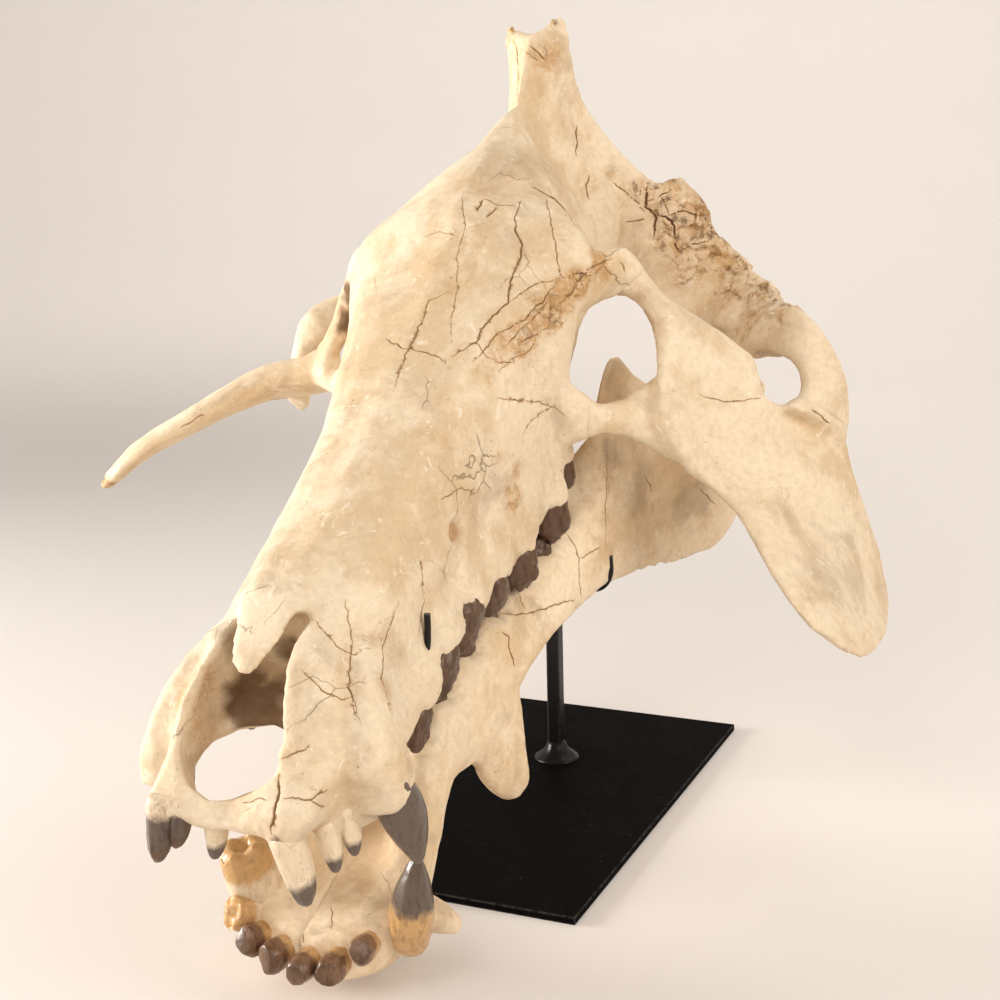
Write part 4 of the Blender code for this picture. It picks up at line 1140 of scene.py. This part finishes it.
def model_arms(name, node, paths, finish):
    rods = [model_rod("%s %d" % (name, k), path) for k, path in enumerate(paths)]
    clear_selection()
    for rod in rods:
        rod.select_set(True)
    bpy.context.view_layer.objects.active = rods[0]
    if len(rods) > 1:
        bpy.ops.object.join()
    obj = bpy.context.view_layer.objects.active
    obj.name = name
    mark_edges(obj, 1.2)
    skin = Skin(obj)
    low, high = (np.array(c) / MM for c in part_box(node))
    skin.points = np.clip(skin.points, low, high)
    skin.write()
    make_active(obj)
    bpy.ops.object.shade_smooth_by_angle(angle=0.9)
    dress(obj, finish)
    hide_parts(node)


# the studio
CAMERA_PLACE = (0.564, -1.378, 0.601)
CAMERA_TURN = math.radians(24.1)
CAMERA_RISE = math.radians(12.9)
CAMERA_ROLL = math.radians(-1.53)
CAMERA_LENS = 59.4
PAPER_RINGS = ((2.5, 0.0), (2.9, 0.04), (3.3, 0.14), (3.7, 0.32), (4.1, 0.62), (4.45, 1.05), (4.65, 1.55),
               (4.75, 2.2), (4.8, 4.2))
PAPER_SIDES = 72


def build_sweep(colour):
    """A round floor that curves up into a wall on every side."""
    clear_selection()
    radius, level = PAPER_RINGS[0]
    bpy.ops.mesh.primitive_circle_add(vertices=PAPER_SIDES, radius=radius, fill_type="NGON", location=(0, 0, 0))
    obj = bpy.context.object
    obj.name = "studio_sweep"
    enter_edit(obj, "EDGE")
    bpy.ops.mesh.select_mode(type="FACE")
    bpy.ops.mesh.inset(thickness=radius * 0.4)
    bpy.ops.mesh.select_mode(type="EDGE")
    for next_radius, next_level in PAPER_RINGS[1:]:
        bpy.ops.mesh.select_all(action="DESELECT")
        bm = bmesh.from_edit_mesh(obj.data)
        for edge in bm.edges:
            edge.select_set(edge.is_boundary)
        bmesh.update_edit_mesh(obj.data)
        bpy.ops.mesh.extrude_region_move(TRANSFORM_OT_translate={"value": (0, 0, next_level - level)})
        bpy.ops.transform.resize(value=(next_radius / radius, next_radius / radius, 1.0),
                                 center_override=(0, 0, 0))
        radius, level = next_radius, next_level
    leave_edit()
    make_active(obj)
    bpy.ops.object.shade_smooth()
    obj.data.materials.append(make_studio("studio paper", colour))


def add_light(name, place, target, size, power, colour):
    data = bpy.data.lights.new(name, "AREA")
    data.shape = "RECTANGLE"
    data.size, data.size_y = size
    data.energy = power
    data.color = colour
    obj = bpy.data.objects.new(name, data)
    bpy.context.scene.collection.objects.link(obj)
    obj.location = place
    obj.rotation_euler = (Vector(target) - Vector(place)).to_track_quat("-Z", "Y").to_euler()


def add_camera():
    data = bpy.data.cameras.new("camera")
    data.sensor_width = 36.0
    data.lens = CAMERA_LENS
    obj = bpy.data.objects.new("camera", data)
    bpy.context.scene.collection.objects.link(obj)
    back = Vector((math.sin(CAMERA_TURN) * math.cos(CAMERA_RISE),
                   -math.cos(CAMERA_TURN) * math.cos(CAMERA_RISE), math.sin(CAMERA_RISE)))
    level = Vector((math.cos(CAMERA_TURN), math.sin(CAMERA_TURN), 0.0))
    upright = back.cross(level)
    right = level * math.cos(CAMERA_ROLL) + upright * math.sin(CAMERA_ROLL)
    up = upright * math.cos(CAMERA_ROLL) - level * math.sin(CAMERA_ROLL)
    obj.matrix_world = Matrix.Translation(CAMERA_PLACE) @ Matrix((right, up, back)).transposed().to_4x4()
    bpy.context.scene.camera = obj


def set_world(colour, strength):
    world = bpy.data.worlds.new("studio air")
    world.use_nodes = True
    shader = world.node_tree.nodes["Background"]
    shader.inputs["Color"].default_value = colour
    shader.inputs["Strength"].default_value = strength
    bpy.context.scene.world = world


# settings that a user would change
def colour_setting(name, description, default):
    return bpy.props.FloatVectorProperty(name=name, description=description, default=default, size=4,
                                         subtype="COLOR", min=0.0, max=1.0)


class SkullBoneSettings(bpy.types.PropertyGroup):
    voxel: bpy.props.FloatProperty(
        name="Cranium fineness", description="Distance between the points of the cranium, in millimetres",
        default=2.9, min=2.0, max=8.0)
    fine_voxel: bpy.props.FloatProperty(
        name="Jaw fineness", description="Distance between the points of the smaller bones, in millimetres",
        default=2.3, min=1.5, max=8.0)
    pale: colour_setting("Pale bone", "Colour of clean bone", (0.80, 0.66, 0.47, 1.0))
    tan: colour_setting("Tan bone", "Colour of handled bone", (0.66, 0.49, 0.30, 1.0))
    # the ochre and the brown also paint the shade in the bones' hollows and dark places
    ochre: colour_setting("Ochre stain", "Colour of mineral stains", (0.50, 0.28, 0.105, 1.0))
    grey: colour_setting("Grey smudge", "Colour of dusty smudges", (0.47, 0.345, 0.225, 1.0))
    brown: colour_setting("Brown dirt", "Colour in cracks and pits", (0.13, 0.066, 0.028, 1.0))


class SkullToothSettings(bpy.types.PropertyGroup):
    dark: colour_setting("Dark enamel", "Colour of the stained enamel", (0.12, 0.064, 0.034, 1.0))
    grey: colour_setting("Grey enamel", "Colour of the worn canine", (0.125, 0.09, 0.066, 1.0))
    orange: colour_setting("Orange dentine", "Colour of broken teeth", (0.60, 0.36, 0.15, 1.0))
    ivory: colour_setting("Ivory root", "Colour of the tooth necks", (0.78, 0.63, 0.44, 1.0))


class SkullStandSettings(bpy.types.PropertyGroup):
    steel: colour_setting("Black steel", "Colour of the painted stand", (0.004, 0.0035, 0.0035, 1.0))
    roughness: bpy.props.FloatProperty(
        name="Steel roughness", description="How dull the paint is", default=0.34, min=0.0, max=1.0,
        subtype="FACTOR")


class SkullStudioSettings(bpy.types.PropertyGroup):
    paper: colour_setting("Paper", "Colour of the floor and backdrop", (0.76, 0.715, 0.675, 1.0))
    key_power: bpy.props.FloatProperty(
        name="Key light", description="Power of the main light", default=34.0, min=0.0, unit="POWER")
    air: bpy.props.FloatProperty(
        name="Air light", description="Strength of the light from all round", default=0.36, min=0.0)


def bone_material(name, pale_shift, hairlines):
    group = bpy.data.node_groups.get("Fossil bone surface") or make_bone_group()
    tints = bpy.context.scene.skull_bones
    pale = [c * pale_shift for c in tints.pale[:3]] + [1.0]
    tan = [c * pale_shift for c in tints.tan[:3]] + [1.0]
    return make_bone(name, group, pale, tan, tuple(tints.ochre), tuple(tints.brown), tuple(tints.grey),
                     hairlines)


def build_bone(node, voxel, rounds, teeth, sockets, pale_shift=1.0, hairlines=1.0):
    obj = copy_of_node(node, "bone_" + node)
    sculpt_bone(obj, node, rounds, voxel, teeth, sockets)
    dress(obj, bone_material("bone of the " + node.replace("_", " "), pale_shift, hairlines))
    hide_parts(node)


class SKULL_OT_cranium(bpy.types.Operator):
    """Sculpt the cranium with its cracks, stains and broken rear wall"""
    bl_idname = "skull.cranium"
    bl_label = "Cranium"

    def execute(self, context):
        cheek = UPPER_CHEEK_TEETH + mirrored(UPPER_CHEEK_TEETH)
        front = (UPPER_CANINE, RIGHT_UPPER_CANINE) + LEFT_UPPER_INCISORS + RIGHT_UPPER_INCISORS
        build_bone("cranium", context.scene.skull_bones.voxel, 14, cheek + front, cheek)
        return {"FINISHED"}


class SKULL_OT_cheeks(bpy.types.Operator):
    """Sculpt the two cheek bones with their flanges"""
    bl_idname = "skull.cheeks"
    bl_label = "Cheek bones"

    def execute(self, context):
        for node in ("jugal_left", "jugal_right"):
            build_bone(node, context.scene.skull_bones.fine_voxel, 18, (), (), hairlines=0.15)
        return {"FINISHED"}


class SKULL_OT_jaw(bpy.types.Operator):
    """Sculpt the two halves of the lower jaw"""
    bl_idname = "skull.jaw"
    bl_label = "Lower jaw"

    def execute(self, context):
        fine = context.scene.skull_bones.fine_voxel
        for node, side in (("dentary_left", 1), ("dentary_right", -1)):
            cheek = LOWER_CHEEK_TEETH if side > 0 else mirrored(LOWER_CHEEK_TEETH)
            canine = LOWER_CANINE if side > 0 else LOWER_CANINE_STUMP
            front = tuple(t for t in LOWER_INCISORS if t[2][0] * side > 0)
            # painted light: the jaw's bone colours are 1.14 times lighter than the cranium's, which lifts the jaw that
            # the lamps leave darker
            build_bone(node, fine, 16, cheek + front + (canine,), cheek, 1.14)
        return {"FINISHED"}


class SKULL_OT_teeth(bpy.types.Operator):
    """Set the teeth in both jaws"""
    bl_idname = "skull.teeth"
    bl_label = "Teeth"

    def execute(self, context):
        tints = context.scene.skull_teeth
        group = make_enamel_group()
        dark, grey = tuple(tints.dark), tuple(tints.grey)
        orange, ivory = tuple(tints.orange), tuple(tints.ivory)
        cheek = make_enamel("dark cheek enamel", group, ivory, dark, dark, 0.12, 0.9, 0.15, 0.9)
        canine = make_enamel("grey canine enamel", group, orange, grey, grey, 0.05, 0.8, 0.3)
        lower_canine = make_enamel("lower canine enamel", group, orange, orange, grey, 0.2, 0.52, 0.4)
        incisor = make_enamel("ivory incisor enamel", group, ivory, ivory, grey, 0.2, 0.7, 0.3, 0.12)
        brown_incisor = make_enamel("brown incisor enamel", group, ivory, grey, dark, 0.3, 0.75, 0.4, 0.8)
        brown = tuple(c * 1.7 for c in tints.dark[:3]) + (1.0,)
        knob = make_enamel("worn brown enamel", group, orange, brown, dark, 0.56, 0.86, 0.2, 0.9)
        broken = make_enamel("broken orange dentine", group, ivory, orange, orange, 0.6, 1.5, 0.1, 0.35)
        patterns = {kind: model_tooth(kind) for kind in TOOTH_RINGS}
        set_teeth("upper_cheek_teeth_left", UPPER_CHEEK_TEETH, patterns, cheek)
        set_teeth("upper_cheek_teeth_right", mirrored(UPPER_CHEEK_TEETH), patterns, cheek)
        set_teeth("lower_cheek_teeth_left", LOWER_CHEEK_TEETH, patterns, cheek)
        set_teeth("lower_cheek_teeth_right", mirrored(LOWER_CHEEK_TEETH), patterns, cheek)
        set_teeth("upper_canine_left", (UPPER_CANINE,), patterns, canine, 5.0)
        set_teeth("upper_canine_right", (RIGHT_UPPER_CANINE,), patterns, canine, 5.0)
        set_teeth("upper_incisors_left", LEFT_UPPER_INCISORS, patterns, incisor, 2.0)
        set_teeth("upper_incisors_right", RIGHT_UPPER_INCISORS[:2], patterns, brown_incisor, 2.0)
        set_teeth("upper_incisor_inner_right", RIGHT_UPPER_INCISORS[2:], patterns, incisor, 2.0)
        set_teeth("lower_canine_left", (LOWER_CANINE,), patterns, lower_canine, -3.0)
        set_teeth("lower_canine_stump_right", (LOWER_CANINE_STUMP,), patterns, broken)
        set_teeth("lower_incisor_stump", LOWER_INCISORS[:1], patterns, broken)
        set_teeth("lower_incisors", LOWER_INCISORS[1:], patterns, knob)
        for pattern in patterns.values():
            bpy.data.objects.remove(pattern, do_unlink=True)
        return {"FINISHED"}


class SKULL_OT_stand(bpy.types.Operator):
    """Build the plate, the post with its weld, and the bent rods"""
    bl_idname = "skull.stand"
    bl_label = "Stand"

    def execute(self, context):
        chosen = context.scene.skull_stand
        steel = make_black_steel("satin black steel", tuple(chosen.steel), chosen.roughness, 0.3)
        model_plate(make_black_steel("dull black plate", tuple(chosen.steel), chosen.roughness + 0.2, 0.01))
        model_post(steel)
        model_arms("skull_arms", "stand_skull_arms", (SKULL_ARM_LEFT, mirrored_path(SKULL_ARM_LEFT)), steel)
        model_arms("jaw_front_arm", "stand_jaw_front_arm",
                   (JAW_FRONT_ARM, JAW_FRONT_HOOK, mirrored_path(JAW_FRONT_HOOK)), steel)
        model_arms("jaw_rear_arm", "stand_jaw_rear_arm", (JAW_REAR_HOOK, mirrored_path(JAW_REAR_HOOK)), steel)
        return {"FINISHED"}


class SKULL_OT_studio(bpy.types.Operator):
    """Set up the paper sweep, the lights and the camera"""
    bl_idname = "skull.studio"
    bl_label = "Studio"

    def execute(self, context):
        chosen = context.scene.skull_studio
        build_sweep(tuple(chosen.paper))
        key = chosen.key_power
        middle = (0.0, -0.2, 0.35)
        add_light("right light", (2.1, -0.55, 1.35), middle, (1.5, 1.5), key * 0.85, (1.0, 0.955, 0.90))
        add_light("left light", (-2.2, -0.85, 0.58), middle, (1.0, 0.7), key * 2.1, (1.0, 0.975, 0.95))
        add_light("back light", (0.4, 1.5, 2.6), (0.1, 0.3, 0.0), (2.4, 2.0), key * 0.5, (1.0, 0.97, 0.94))
        add_light("front light", (-0.1, -2.5, 1.9), middle, (1.6, 1.6), key * 0.95, (1.0, 0.965, 0.93))
        add_light("wall light", (-0.4, 2.0, 3.3), (-1.8, 4.6, 1.0), (2.6, 1.6), key * 1.7, (1.0, 0.975, 0.95))
        set_world((1.0, 0.955, 0.91, 1.0), chosen.air)
        context.scene.view_settings.view_transform = "Standard"
        add_camera()
        return {"FINISHED"}


OPERATORS = (SKULL_OT_cranium, SKULL_OT_cheeks, SKULL_OT_jaw, SKULL_OT_teeth, SKULL_OT_stand, SKULL_OT_studio)


class SKULL_PT_panel(bpy.types.Panel):
    """The steps that build the mounted skull"""
    bl_label = "Mounted Skull"
    bl_space_type = "VIEW_3D"
    bl_region_type = "UI"
    bl_category = "Skull"

    def draw(self, context):
        layout = self.layout
        for group, names in (
            (context.scene.skull_bones, ("voxel", "fine_voxel", "pale", "tan", "ochre", "grey", "brown")),
            (context.scene.skull_teeth, ("dark", "grey", "orange", "ivory")),
            (context.scene.skull_stand, ("steel", "roughness")),
            (context.scene.skull_studio, ("paper", "key_power", "air")),
        ):
            column = layout.column(align=True)
            for name in names:
                column.prop(group, name)
        for operator in OPERATORS:
            layout.operator(operator.bl_idname)


SETTINGS = (
    ("skull_bones", SkullBoneSettings), ("skull_teeth", SkullToothSettings),
    ("skull_stand", SkullStandSettings), ("skull_studio", SkullStudioSettings),
)
CLASSES = tuple(group for _, group in SETTINGS) + OPERATORS + (SKULL_PT_panel,)


def register():
    for entry in CLASSES:
        bpy.utils.register_class(entry)
    for name, group in SETTINGS:
        setattr(bpy.types.Scene, name, bpy.props.PointerProperty(type=group))


def unregister():
    for name, _ in SETTINGS:
        delattr(bpy.types.Scene, name)
    for entry in reversed(CLASSES):
        bpy.utils.unregister_class(entry)


def main():
    register()
    bpy.ops.skull.cranium()
    bpy.ops.skull.cheeks()
    bpy.ops.skull.jaw()
    bpy.ops.skull.teeth()
    bpy.ops.skull.stand()
    bpy.ops.skull.studio()
    clear_selection()


if __name__ == "__main__":
    main()
